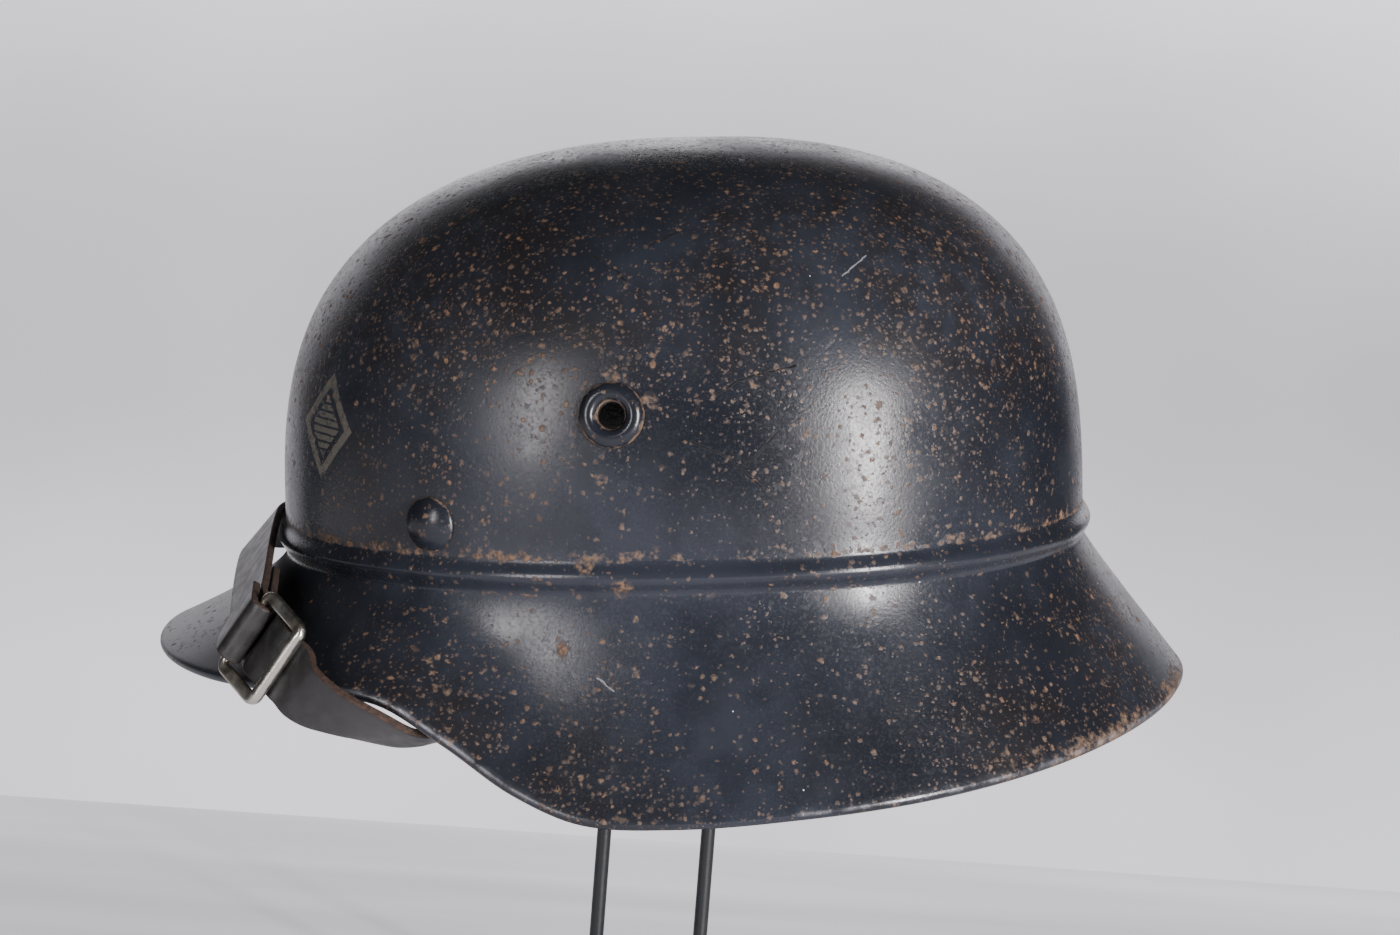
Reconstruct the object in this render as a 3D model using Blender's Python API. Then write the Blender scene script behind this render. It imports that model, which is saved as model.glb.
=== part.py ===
"""Steel air raid helmet with a beaded crown and a chin strap, on a plain wire stand.

Metres, +Z up, the front towards -X and the wearer's left towards -Y.
The origin is the middle of the stand's underside.
Azimuths are in degrees round the helmet: 0 at the front, 90 at the wearer's left, 180 at the back.
"""
import math

import bmesh
import bpy
from mathutils import Matrix, Vector

# Shell, measured from the middle of the bead, with the helmet level
CROWN_FRONT = 0.1135
CROWN_REAR = 0.108
CROWN_HALF_WIDTH = 0.0925
CROWN_HEIGHT = 0.106
SHEET = 0.0012
BEAD_WIDTH = 0.0093
BEAD_RISE = 0.002
PEAK_REACH = 0.035
SKIRT_DROP = 0.0585
RIM_ROLL_RADIUS = 0.00165

# Vents and rivets
VENT_AZIMUTH = 80.5
VENT_HEIGHT = 0.042
VENT_OUTER_RADIUS = 0.0086
VENT_CREST_RADIUS = 0.0059
VENT_HOLE_RADIUS = 0.0034
VENT_RISE = 0.0022
VENT_WALL = 0.0008
VENT_LIP_SHARE = 0.3
RIVET_AZIMUTH = 54.3
RIVET_HEIGHT = 0.0125
RIVET_HEAD_RADIUS = 0.0072
RIVET_HEAD_RISE = 0.0032
RIVET_EDGE = 0.0003
RIVET_SEAT = 0.0005
RIVET_SHANK_RADIUS = 0.002
RIVET_WASHER_RADIUS = 0.0058
RIVET_WASHER = 0.001

# Chin strap and buckle
STRAP_WIDTH = 0.0175
STRAP_THICKNESS = 0.0022
STRAP_SLACK = 0.0009
STRAP_TUCK_LEVEL = 2.2
STRAP_TUCK_SHARE = 1.5
FOLD_BACK = 0.013
TAIL_LENGTH = 0.034
BUCKLE_WIDTH = 0.0265
BUCKLE_LENGTH = 0.019
BUCKLE_FRONT_BAR_RADIUS = 0.0018
BUCKLE_BACK_BAR_RADIUS = 0.0012
BUCKLE_SIDE_BAR_WIDTH = 0.0034
BUCKLE_SIDE_BAR_THICKNESS = 0.0022
BUCKLE_CORNER = 0.002
BUCKLE_AZIMUTH = 38.1
BUCKLE_RISE = 0.0074
BUCKLE_HEADING = 51.7
BUCKLE_LIFT = 20.4
BUCKLE_SLOPE = 31.0

# Stand
SKIRT_CLEARANCE = 0.098
HELMET_TILT = -5.8
ROD_RADIUS = 0.002
ROD_SPACING = 0.0293
ROD_SHIFT = 0.0038
ROD_BEND_RADIUS = 0.007
CRADLE_LEVEL = 0.14
CRADLE_SIDES = 24
CRADLE_THICKNESS = 0.006
BASE_RADIUS = 0.075
BASE_THICKNESS = 0.006
BASE_CHAMFER = 0.0012
BASE_BORE_DEPTH = 0.0045

# Fits
GAP = 0.0003
HOLE_CLEARANCE = 0.0003

# Form of the dome, the plan and the sections between crown and rim
DOME_PLAN_POWER = 2.35
DOME_HEIGHT_POWER = 3.1
PLAN_POWER = 2.15
PLAN_TAPER = 0.03
APEX_SHIFT = 0.019
FLARE_START = 0.05

# The brim round one side. Reach is a share of PEAK_REACH, drop a share of SKIRT_DROP, and
# shoulder the share of that drop at which the wall turns outwards.
BRIM_SECTIONS = [
    {"azimuth": 0, "reach": 1.000, "drop": 0.455, "shoulder": 0.36},
    {"azimuth": 25, "reach": 0.920, "drop": 0.470, "shoulder": 0.35},
    {"azimuth": 42, "reach": 0.790, "drop": 0.465, "shoulder": 0.32},
    {"azimuth": 53, "reach": 0.650, "drop": 0.490, "shoulder": 0.28},
    {"azimuth": 62, "reach": 0.590, "drop": 0.670, "shoulder": 0.34},
    {"azimuth": 70, "reach": 0.580, "drop": 0.870, "shoulder": 0.40},
    {"azimuth": 78, "reach": 0.635, "drop": 0.985, "shoulder": 0.36},
    {"azimuth": 88, "reach": 0.655, "drop": 1.000, "shoulder": 0.31},
    {"azimuth": 100, "reach": 0.665, "drop": 0.975, "shoulder": 0.26},
    {"azimuth": 115, "reach": 0.680, "drop": 0.935, "shoulder": 0.22},
    {"azimuth": 132, "reach": 0.685, "drop": 0.875, "shoulder": 0.18},
    {"azimuth": 150, "reach": 0.720, "drop": 0.800, "shoulder": 0.14},
    {"azimuth": 165, "reach": 0.740, "drop": 0.760, "shoulder": 0.12},
    {"azimuth": 180, "reach": 0.780, "drop": 0.737, "shoulder": 0.11},
]

# The strap's way round the rim. Out and up are shares of STRAP_WIDTH from the rim at that azimuth;
# lean is the angle of the strap's upper edge from the vertical, towards heading, a compass angle
# in the same sense as the azimuth. From beside the peak to the inner wall, mirrored at the right:
UNDER_RIM_STATIONS = [
    {"azimuth": 51.0, "out": 0.02, "up": -0.48, "lean": 50, "heading": 99},
    {"azimuth": 54.0, "out": -0.40, "up": -0.67, "lean": 64, "heading": 90},
    {"azimuth": 56.5, "out": -0.72, "up": -0.58, "lean": 74, "heading": 84},
    {"azimuth": 59.5, "out": -1.00, "up": -0.25, "lean": 84, "heading": 70},
    {"azimuth": 61.5, "out": -1.14, "up": 0.35, "lean": 88, "heading": 45},
    {"azimuth": 60.0, "out": -1.22, "up": 1.00, "lean": 90, "heading": 10},
]

# From the buckle's front bar to the rim at the left
BUCKLE_SIDE_STATIONS = [
    {"azimuth": 44.5, "out": 0.22, "up": -0.05, "lean": 38, "heading": 145},
    {"azimuth": 47.7, "out": 0.22, "up": -0.27, "lean": 43, "heading": 122},
]

# From the rim at the right, where the strap turns over the peak, round to the front
PEAK_STATIONS = [
    {"azimuth": -48.0, "out": 0.22, "up": -0.29, "lean": 43, "heading": -122},
    {"azimuth": -45.5, "out": 0.22, "up": -0.02, "lean": 38, "heading": -150},
    {"azimuth": -42.0, "out": -0.10, "up": 0.32, "lean": 50, "heading": -196},
    {"azimuth": -36.0, "out": -0.83, "up": 0.78, "lean": 66, "heading": -202},
    {"azimuth": -24.0, "out": -1.15, "up": 1.17, "lean": 49, "heading": -188},
    {"azimuth": -12.0, "out": -1.49, "up": 1.40, "lean": 43, "heading": -184},
    {"azimuth": 0.0, "out": -1.57, "up": 1.43, "lean": 41, "heading": -180},
]

# The strap's way through the buckle, as shares of the distance between its two bars, measured
# from the back bar. Depth is below the frame's middle plane.
BUCKLE_STATIONS = [
    {"along": 0.36, "depth": 0.145},
    {"along": 0.60, "depth": 0.12},
    {"along": 0.83, "depth": 0.16},
    {"along": 1.00, "depth": 0.20},
    {"along": 1.20, "depth": 0.21},
]

# How finely the meshes are cut
AZIMUTH_STEPS = 66
CROWN_RINGS = 11
BEAD_RINGS = 6
FLARE_RINGS = 7
ROLL_RINGS = 6
TURN_STEPS = 20
BASE_SIDES = 48
ROD_SIDES = 12
BAR_SIDES = 10
BEND_SHARES = (0, 0.2, 0.4, 0.6, 0.8, 1)
STRAP_STEP = 0.0045

# Colour, roughness and metallic value of each material
PAINT = ("blue_grey_paint", (0.045, 0.050, 0.062), 0.45, 0.2)
VENT_PAINT = ("vent_paint", (0.050, 0.054, 0.064), 0.35, 0.4)
LEATHER = ("black_leather", (0.045, 0.042, 0.042), 0.5, 0.0)
STEEL = ("bare_steel", (0.45, 0.43, 0.38), 0.3, 1.0)
STAND_PAINT = ("stand_paint", (0.055, 0.065, 0.080), 0.45, 0.3)


def clear_scene():
    for item in list(bpy.data.objects):
        bpy.data.objects.remove(item, do_unlink=True)


def material(look):
    name, colour, roughness, metallic = look
    made = bpy.data.materials.get(name)
    if made is None:
        made = bpy.data.materials.new(name)
        made.use_nodes = True
        shader = made.node_tree.nodes["Principled BSDF"]
        shader.inputs["Base Color"].default_value = (*colour, 1)
        shader.inputs["Roughness"].default_value = roughness
        shader.inputs["Metallic"].default_value = metallic
    return made


def add_object(name, points, faces, look, parent=None, placed=None):
    """One closed body, its faces turned outwards."""
    mesh = bpy.data.meshes.new(name)
    mesh.from_pydata(points, [], faces)
    shape = bmesh.new()
    shape.from_mesh(mesh)
    bmesh.ops.recalc_face_normals(shape, faces=shape.faces)
    shape.to_mesh(mesh)
    shape.free()
    mesh.shade_smooth()
    mesh.set_sharp_from_angle(angle=math.radians(35))
    made = bpy.data.objects.new(name, mesh)
    made.data.materials.append(material(look))
    bpy.context.collection.objects.link(made)
    made.parent = parent
    if placed is not None:
        made.matrix_local = placed
    return made


def cut(target, cutter):
    cutter.hide_render = True
    cutter.display_type = "WIRE"
    boolean = target.modifiers.new("cut", "BOOLEAN")
    boolean.operation = "DIFFERENCE"
    boolean.solver = "EXACT"
    boolean.object = cutter


def brim_value(column, azimuth):
    """A column of the brim's table at any azimuth, by a smooth curve level at both ends."""
    azimuth = math.degrees(math.acos(max(-1.0, min(1.0, math.cos(math.radians(azimuth))))))
    rows = BRIM_SECTIONS
    place = max(i for i in range(len(rows) - 1) if rows[i]["azimuth"] <= azimuth + 1e-9)
    start, end = rows[place], rows[place + 1]
    span = end["azimuth"] - start["azimuth"]

    def slope(i):
        if i in (0, len(rows) - 1):
            return 0.0
        rise = rows[i + 1][column] - rows[i - 1][column]
        return rise / (rows[i + 1]["azimuth"] - rows[i - 1]["azimuth"])

    t = (azimuth - start["azimuth"]) / span
    return (
        start[column] * (2 * t**3 - 3 * t**2 + 1)
        + end[column] * (3 * t**2 - 2 * t**3)
        + span * slope(place) * (t**3 - 2 * t**2 + t)
        + span * slope(place + 1) * (t**3 - t**2)
    )


def plan_point(azimuth):
    """A point of the crown's egg-shaped plan at the bead."""
    angle = math.radians(azimuth)
    along, across = math.cos(angle), math.sin(angle)
    length = CROWN_FRONT if along > 0 else CROWN_REAR
    power = 2 / PLAN_POWER
    x = -math.copysign(length * abs(along) ** power, along)
    y = -math.copysign(CROWN_HALF_WIDTH * abs(across) ** power, across)
    return Vector((x, y * (1 - PLAN_TAPER * along), 0))


def outward(azimuth):
    """The level direction square to the plan."""
    step = plan_point(azimuth + 0.5) - plan_point(azimuth - 0.5)
    return Vector((step.y, -step.x, 0)).normalized()


def crown_level(height):
    """Where on the crown, from 0 at the apex to 1 at the bead, a height lies."""
    at_bead = math.acos((BEAD_WIDTH / 2 / CROWN_HEIGHT) ** (DOME_HEIGHT_POWER / 2))
    return math.acos((height / CROWN_HEIGHT) ** (DOME_HEIGHT_POWER / 2)) / at_bead


def shell_point(azimuth, level):
    """The outer surface: level 0 to 1 is the crown, 1 to 2 the bead, 2 to 3 the flare to the rim."""
    plan = plan_point(azimuth)
    half = BEAD_WIDTH / 2
    if level <= 1:
        at_bead = math.acos((half / CROWN_HEIGHT) ** (DOME_HEIGHT_POWER / 2))
        angle = level * at_bead
        height = CROWN_HEIGHT * math.cos(angle) ** (2 / DOME_HEIGHT_POWER)
        radius = math.sin(angle) ** (2 / DOME_PLAN_POWER)
        shift = APEX_SHIFT * CROWN_HEIGHT * (height / CROWN_HEIGHT) ** 2
        return plan * radius + Vector((shift, 0, height))
    if level <= 2:
        height = half * (3 - 2 * level)
        rise = BEAD_RISE * math.cos(math.pi * height / BEAD_WIDTH) ** 2
        return plan + outward(azimuth) * rise + Vector((0, 0, height))
    reach = PEAK_REACH * brim_value("reach", azimuth)
    drop = SKIRT_DROP * brim_value("drop", azimuth)
    turn = half + (drop - half) * brim_value("shoulder", azimuth)
    t = level - 2
    offset = 2 * t * (1 - t) * FLARE_START * reach + t**2 * reach
    height = -(half * (1 - t) ** 2 + 2 * t * (1 - t) * turn + drop * t**2)
    return plan + outward(azimuth) * offset + Vector((0, 0, height))


def shell_normal(azimuth, level):
    """The outer surface's direction outwards, by small steps along and across it."""
    level = min(max(level, 0.03), 2.999)
    across = shell_point(azimuth + 0.2, level) - shell_point(azimuth - 0.2, level)
    down = shell_point(azimuth, level + 0.001) - shell_point(azimuth, level - 0.001)
    return down.cross(across).normalized()


def inner_point(azimuth, level, depth=SHEET):
    return shell_point(azimuth, level) - shell_normal(azimuth, level) * depth


def rim_roll(azimuth, angle):
    """A point of the rolled rim's round section, from the outer wall at angle 0 inwards."""
    normal = shell_normal(azimuth, 3)
    down = shell_point(azimuth, 3) - shell_point(azimuth, 2.998)
    down = (down - normal * down.dot(normal)).normalized()
    middle = shell_point(azimuth, 3) - normal * RIM_ROLL_RADIUS
    return middle + RIM_ROLL_RADIUS * (normal * math.cos(angle) + down * math.sin(angle))


def shell_rings():
    """The closed wall's rings, from beside the apex outside, round the rim, to beside it inside."""
    azimuths = [360 * i / AZIMUTH_STEPS for i in range(AZIMUTH_STEPS)]
    outer = [(i + 1) / CROWN_RINGS for i in range(CROWN_RINGS)]
    outer += [1 + (i + 1) / BEAD_RINGS for i in range(BEAD_RINGS)]
    outer += [2 + (i + 1) / FLARE_RINGS for i in range(FLARE_RINGS)]
    rings = [[shell_point(a, level) for a in azimuths] for level in outer]
    closing = 2 * math.pi - math.acos((RIM_ROLL_RADIUS - SHEET) / RIM_ROLL_RADIUS)
    for i in range(1, ROLL_RINGS + 1):
        rings.append([rim_roll(a, closing * i / ROLL_RINGS) for a in azimuths])
    inner = reversed(outer[:-1])
    rings += [[inner_point(a, level) for a in azimuths] for level in inner]
    return rings


def make_shell(helmet):
    rings = shell_rings()
    count = AZIMUTH_STEPS
    points = [point for ring in rings for point in ring]
    apex = shell_point(0, 0)
    points += [apex, apex - Vector((0, 0, SHEET))]
    faces = []
    for ring in range(len(rings) - 1):
        for i in range(count):
            j = (i + 1) % count
            first = ring * count
            faces.append((first + i, first + j, first + count + j, first + count + i))
    last = (len(rings) - 1) * count
    for i in range(count):
        j = (i + 1) % count
        faces.append((len(rings) * count, j, i))
        faces.append((len(rings) * count + 1, last + i, last + j))
    shell = add_object("shell", points, faces, PAINT, helmet)
    for azimuth in vent_azimuths():
        place = surface_frame(azimuth, crown_level(VENT_HEIGHT))
        radius = VENT_HOLE_RADIUS + VENT_WALL + HOLE_CLEARANCE
        cut(shell, cylinder_cutter("vent_cutter", radius, place, helmet))
    for azimuth in rivet_azimuths().values():
        place = surface_frame(azimuth, crown_level(RIVET_HEIGHT))
        radius = RIVET_SHANK_RADIUS + HOLE_CLEARANCE
        cut(shell, cylinder_cutter("rivet_cutter", radius, place, helmet))
    return shell


def vent_azimuths():
    return (VENT_AZIMUTH, -VENT_AZIMUTH)


def rivet_azimuths():
    return {"left": RIVET_AZIMUTH, "right": -RIVET_AZIMUTH}


def surface_frame(azimuth, level):
    """A frame on the shell, Z outwards and X level."""
    z = shell_normal(azimuth, level)
    x = Vector((0, 0, 1)).cross(z).normalized()
    y = z.cross(x)
    frame = Matrix((x, y, z)).transposed().to_4x4()
    frame.translation = shell_point(azimuth, level)
    return frame


def turned(name, profile, look, parent, placed, sides=TURN_STEPS):
    """A solid turned round Z from (radius, height) points; a radius of 0 closes it."""
    points, faces = [], []
    rows = []
    for radius, height in profile:
        if radius == 0:
            rows.append([len(points)])
            points.append((0, 0, height))
            continue
        rows.append([len(points) + i for i in range(sides)])
        for i in range(sides):
            angle = 2 * math.pi * i / sides
            points.append((radius * math.cos(angle), radius * math.sin(angle), height))
    closed = profile[0][0] != 0
    pairs = list(zip(rows, rows[1:] + rows[:1])) if closed else list(zip(rows, rows[1:]))
    for upper, lower in pairs:
        for i in range(sides):
            j = (i + 1) % sides
            corners = [upper[i % len(upper)], upper[j % len(upper)]]
            corners += [lower[j % len(lower)], lower[i % len(lower)]]
            faces.append(tuple(dict.fromkeys(corners)))
    return add_object(name, points, faces, look, parent, placed)


def cylinder_cutter(name, radius, placed, parent, reach=0.02):
    profile = [(0, reach), (radius, reach), (radius, -reach), (0, -reach)]
    return turned(name, profile, PAINT, parent, placed)


def seat_sag(radius):
    """How far the crown, where it curves most, falls away under a flat part of this radius."""
    return radius**2 / CROWN_HALF_WIDTH


def make_vents(helmet):
    shank = VENT_HOLE_RADIUS + VENT_WALL
    inside = -SHEET - GAP - seat_sag(VENT_CREST_RADIUS)
    crest = [(VENT_OUTER_RADIUS, GAP), (VENT_OUTER_RADIUS, GAP + VENT_WALL / 2)]
    for share in (0.33, 0.66, 1.0):
        radius = VENT_OUTER_RADIUS + (VENT_CREST_RADIUS - VENT_OUTER_RADIUS) * share
        crest.append((radius, GAP + (VENT_RISE - GAP) * math.sin(share * math.pi / 2)))
    for share in (0.45, 0.85, 1.0):
        radius = VENT_CREST_RADIUS + (VENT_HOLE_RADIUS - VENT_CREST_RADIUS) * share
        fall = (1 - VENT_LIP_SHARE) * (1 - math.cos(share * math.pi / 2))
        crest.append((radius, VENT_RISE * (1 - fall)))
    profile = [(shank, GAP)] + crest
    profile += [(VENT_HOLE_RADIUS, inside - VENT_WALL), (VENT_CREST_RADIUS, inside - VENT_WALL)]
    profile += [(VENT_CREST_RADIUS, inside), (shank, inside)]
    for side, azimuth in zip(("left", "right"), vent_azimuths()):
        place = surface_frame(azimuth, crown_level(VENT_HEIGHT))
        turned(f"vent_{side}", profile, VENT_PAINT, helmet, place)


def strap_seat_depth():
    """From the shell's outer face to the middle of a strap that lies against its inner wall."""
    return SHEET + STRAP_SLACK + STRAP_THICKNESS / 2


def make_rivets(helmet):
    head = []
    edge = RIVET_SEAT + RIVET_EDGE
    for share in (0.0, 0.3, 0.6, 0.85, 1.0):
        height = RIVET_HEAD_RISE - (RIVET_HEAD_RISE - edge) * share**2
        head.append((RIVET_HEAD_RADIUS * share, height))
    head += [(RIVET_HEAD_RADIUS - RIVET_EDGE, RIVET_SEAT), (RIVET_SHANK_RADIUS, RIVET_SEAT)]
    for name, azimuth in rivet_azimuths().items():
        packing = strap_seat_depth() + STRAP_THICKNESS / 2 + STRAP_SLACK + GAP
        foot = [(RIVET_SHANK_RADIUS, -packing), (RIVET_WASHER_RADIUS, -packing)]
        foot += [(RIVET_WASHER_RADIUS, -packing - RIVET_WASHER), (0, -packing - RIVET_WASHER)]
        place = surface_frame(azimuth, crown_level(RIVET_HEIGHT))
        turned(f"rivet_{name}", head + foot, PAINT, helmet, place)


def compass(heading):
    """A level direction, 0 to the front and 90 to the wearer's left."""
    angle = math.radians(heading)
    return Vector((-math.cos(angle), -math.sin(angle), 0))


def buckle_frame():
    """Axes of the buckle: X along the strap to the lug, Y up its width, Z out of its face."""
    lift, slope = math.radians(BUCKLE_LIFT), math.radians(BUCKLE_SLOPE)
    face = compass(BUCKLE_HEADING) * math.cos(lift) + Vector((0, 0, math.sin(lift)))
    level = Vector((0, 0, 1)).cross(face).normalized()
    rise = face.cross(level)
    along = level * math.cos(slope) - rise * math.sin(slope)
    upper = face.cross(along)
    touch = max(shell_point(azimuth, 3).dot(face) for azimuth in range(20, 71))
    stand_off = touch + STRAP_SLACK + STRAP_THICKNESS + GAP + BUCKLE_FRONT_BAR_RADIUS
    anchor = shell_point(BUCKLE_AZIMUTH, 3)
    origin = anchor + face * (stand_off - anchor.dot(face)) + rise * BUCKLE_RISE
    frame = Matrix((along, upper, face)).transposed().to_4x4()
    frame.translation = origin
    return frame


def bar_spacing():
    return BUCKLE_LENGTH - BUCKLE_FRONT_BAR_RADIUS - BUCKLE_BACK_BAR_RADIUS


def bar_offsets():
    """Where the back and the front bar lie along the buckle."""
    back = -BUCKLE_LENGTH / 2 + BUCKLE_BACK_BAR_RADIUS
    return back, back + bar_spacing()


def make_buckle(helmet):
    """A rounded rectangle of wire, thick and round in front, flat at the sides, thin at the back."""
    back, front = bar_offsets()
    half = BUCKLE_WIDTH / 2 - BUCKLE_SIDE_BAR_WIDTH / 2
    inset = BUCKLE_CORNER
    bar = (BUCKLE_FRONT_BAR_RADIUS, BUCKLE_FRONT_BAR_RADIUS)
    side = (BUCKLE_SIDE_BAR_WIDTH / 2, BUCKLE_SIDE_BAR_THICKNESS / 2)
    pin = (BUCKLE_BACK_BAR_RADIUS, BUCKLE_BACK_BAR_RADIUS)
    corners = [
        (front, half - inset, bar), (front - inset / 3, half - inset / 3, bar),
        (front - inset, half, side), (back + inset, half, side),
        (back + inset / 3, half - inset / 3, side), (back, half - inset, pin),
    ]
    path = corners + [(x, -y, size) for x, y, size in reversed(corners)]
    points, faces = [], []
    for i, (x, y, size) in enumerate(path):
        before, after = path[i - 1], path[(i + 1) % len(path)]
        run = Vector((after[0] - before[0], after[1] - before[1], 0)).normalized()
        across = Vector((run.y, -run.x, 0))
        for k in range(BAR_SIDES):
            angle = 2 * math.pi * k / BAR_SIDES
            offset = across * size[0] * math.cos(angle) + Vector((0, 0, size[1] * math.sin(angle)))
            points.append(Vector((x, y, 0)) + offset)
    for i in range(len(path)):
        for k in range(BAR_SIDES):
            a, b = i * BAR_SIDES, (i + 1) % len(path) * BAR_SIDES
            m = (k + 1) % BAR_SIDES
            faces.append((a + k, a + m, b + m, b + k))
    add_object("buckle", points, faces, STEEL, helmet, buckle_frame())


def mirrored(row):
    return {**row, "azimuth": -row["azimuth"], "heading": -row["heading"]}


def station_place(row):
    """Middle of the strap and the direction of its upper edge at a station beside the rim."""
    rim = shell_point(row["azimuth"], 3)
    level = outward(row["azimuth"]) * row["out"] * STRAP_WIDTH
    middle = rim + level + Vector((0, 0, row["up"] * STRAP_WIDTH))
    lean = math.radians(row["lean"])
    edge = compass(row["heading"]) * math.sin(lean) + Vector((0, 0, math.cos(lean)))
    return middle, edge


def wall_stations(side):
    """The strap against the inner wall, from below the bead up past its rivet; side is 1 or -1."""
    azimuth = side * RIVET_AZIMUTH
    edge = side * outward(azimuth).cross(Vector((0, 0, 1)))
    tuck = outward(azimuth) * STRAP_TUCK_SHARE * strap_seat_depth()
    places = [(shell_point(azimuth, STRAP_TUCK_LEVEL) - tuck, edge)]
    for height in (BEAD_WIDTH, RIVET_HEIGHT, RIVET_HEIGHT + RIVET_WASHER_RADIUS + STRAP_WIDTH / 4):
        frame = surface_frame(azimuth, crown_level(height))
        places.append((frame.translation - frame.col[2].xyz * strap_seat_depth(), edge))
    return places


def fold_layers():
    """Axes at the back bar for the strap that runs from it to the front: origin, run, edge, face."""
    frame = buckle_frame()
    bar = frame @ Vector((bar_offsets()[0], 0, 0))
    front, _ = station_place(PEAK_STATIONS[-1])
    edge = frame.col[1].xyz
    run = front - bar
    run = (run - edge * run.dot(edge)).normalized()
    return bar, run, edge, edge.cross(run)


def layer_pitch():
    return STRAP_THICKNESS + GAP


def roll_radius():
    """Of the middle of the leather where it turns round the back bar."""
    return BUCKLE_BACK_BAR_RADIUS + GAP + STRAP_THICKNESS / 2


def right_strap_places():
    """From the right rivet under the rim, over the peak, round the back bar and back on itself."""
    places = list(reversed(wall_stations(-1)))
    places += [station_place(mirrored(row)) for row in reversed(UNDER_RIM_STATIONS)]
    places += [station_place(row) for row in PEAK_STATIONS]
    bar, run, edge, face = fold_layers()
    radius = roll_radius()
    for share in (1.3, 0.9, 0.5, 0.2):
        distance = share * FOLD_BACK
        places.append((bar + run * distance + face * under_fold(distance), edge))
    for i in range(7):
        angle = math.pi * (1 - i / 6)
        places.append((bar + radius * (face * math.cos(angle) - run * math.sin(angle)), edge))
    for share in (0.5, 1.0):
        places.append((bar + run * FOLD_BACK * share + face * radius, edge))
    return places


def under_fold(distance):
    """Height of the layer below the folded end, which dips to pass under the back bar."""
    share = min(distance / FOLD_BACK, 1.0)
    blend = share * share * (3 - 2 * share)
    return -roll_radius() + (2 * roll_radius() - layer_pitch()) * blend


def left_strap_places():
    """From its tail under the other strap, through the buckle, round the rim to the left rivet."""
    bar, run, edge, face = fold_layers()
    frame = buckle_frame()
    places = []
    for distance in (TAIL_LENGTH, TAIL_LENGTH * 0.7, FOLD_BACK, FOLD_BACK * 0.5, 0):
        height = under_fold(distance) - layer_pitch() - GAP
        places.append((bar + run * distance + face * height, edge))
    for row in BUCKLE_STATIONS:
        x = bar_offsets()[0] + bar_spacing() * row["along"]
        places.append((frame @ Vector((x, 0, -bar_spacing() * row["depth"])), edge))
    places += [station_place(row) for row in BUCKLE_SIDE_STATIONS + UNDER_RIM_STATIONS]
    places += wall_stations(1)
    return places


def smooth_places(places):
    """Places about STRAP_STEP apart on one smooth curve through the given ones."""
    middles = [middle for middle, _ in places]
    edges = [edge for _, edge in places]
    found = []
    for i in range(len(places) - 1):
        steps = max(1, round((middles[i + 1] - middles[i]).length / STRAP_STEP))
        for k in range(steps):
            found.append((curve_value(middles, i, k / steps), curve_value(edges, i, k / steps)))
    return found + [places[-1]]


def curve_value(values, i, t):
    """A cubic through values i and i + 1, its slopes taken from their neighbours."""
    start, end = values[i], values[i + 1]
    before = values[i - 1] if i else start * 2 - end
    after = values[i + 2] if i + 2 < len(values) else end * 2 - start
    gap = (end - start).length or 1.0
    low = (end - before) * (gap / (gap + (start - before).length))
    high = (after - start) * (gap / (gap + (after - end).length))
    return (
        start * (2 * t**3 - 3 * t**2 + 1)
        + end * (3 * t**2 - 2 * t**3)
        + low * (t**3 - 2 * t**2 + t)
        + high * (t**3 - t**2)
    )


def make_strap(name, places, side, helmet):
    """A flat strap along its places, with a hole for the rivet of its side."""
    places = smooth_places(places)
    points, faces = [], []
    for i, (middle, edge) in enumerate(places):
        run = places[min(i + 1, len(places) - 1)][0] - places[max(i - 1, 0)][0]
        run = run.normalized()
        edge = (edge - run * edge.dot(run)).normalized()
        across = run.cross(edge) * STRAP_THICKNESS / 2
        edge = edge * STRAP_WIDTH / 2
        points += [middle + edge + across, middle - edge + across]
        points += [middle - edge - across, middle + edge - across]
    for i in range(len(places) - 1):
        for k in range(4):
            a, b = 4 * i + k, 4 * i + (k + 1) % 4
            faces.append((a, b, b + 4, a + 4))
    faces += [(3, 2, 1, 0), tuple(len(points) - 4 + k for k in range(4))]
    strap = add_object(name, points, faces, LEATHER, helmet)
    place = surface_frame(side * RIVET_AZIMUTH, crown_level(RIVET_HEIGHT))
    radius = RIVET_SHANK_RADIUS + HOLE_CLEARANCE
    reach = strap_seat_depth() + STRAP_WIDTH / 2
    cut(strap, cylinder_cutter(f"{name}_cutter", radius, place, helmet, reach))


def helmet_placement():
    """Tilts the helmet, centres it over the origin and lifts its skirt clear of the base."""
    tilt = Matrix.Rotation(math.radians(HELMET_TILT), 4, "Y")
    points = [tilt @ point for ring in shell_rings() for point in ring]
    low = Vector([min(point[k] for point in points) for k in range(3)])
    high = Vector([max(point[k] for point in points) for k in range(3)])
    move = Vector((-(low.x + high.x) / 2, 0, SKIRT_CLEARANCE - low.z))
    return Matrix.Translation(move) @ tilt


def cradle_floor():
    """Height of the cradle's flat underside in the helmet's frame."""
    azimuths = range(0, 360, 360 // CRADLE_SIDES)
    lowest = min(inner_point(a, CRADLE_LEVEL, SHEET + GAP).z for a in azimuths)
    return lowest - CRADLE_THICKNESS


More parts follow.
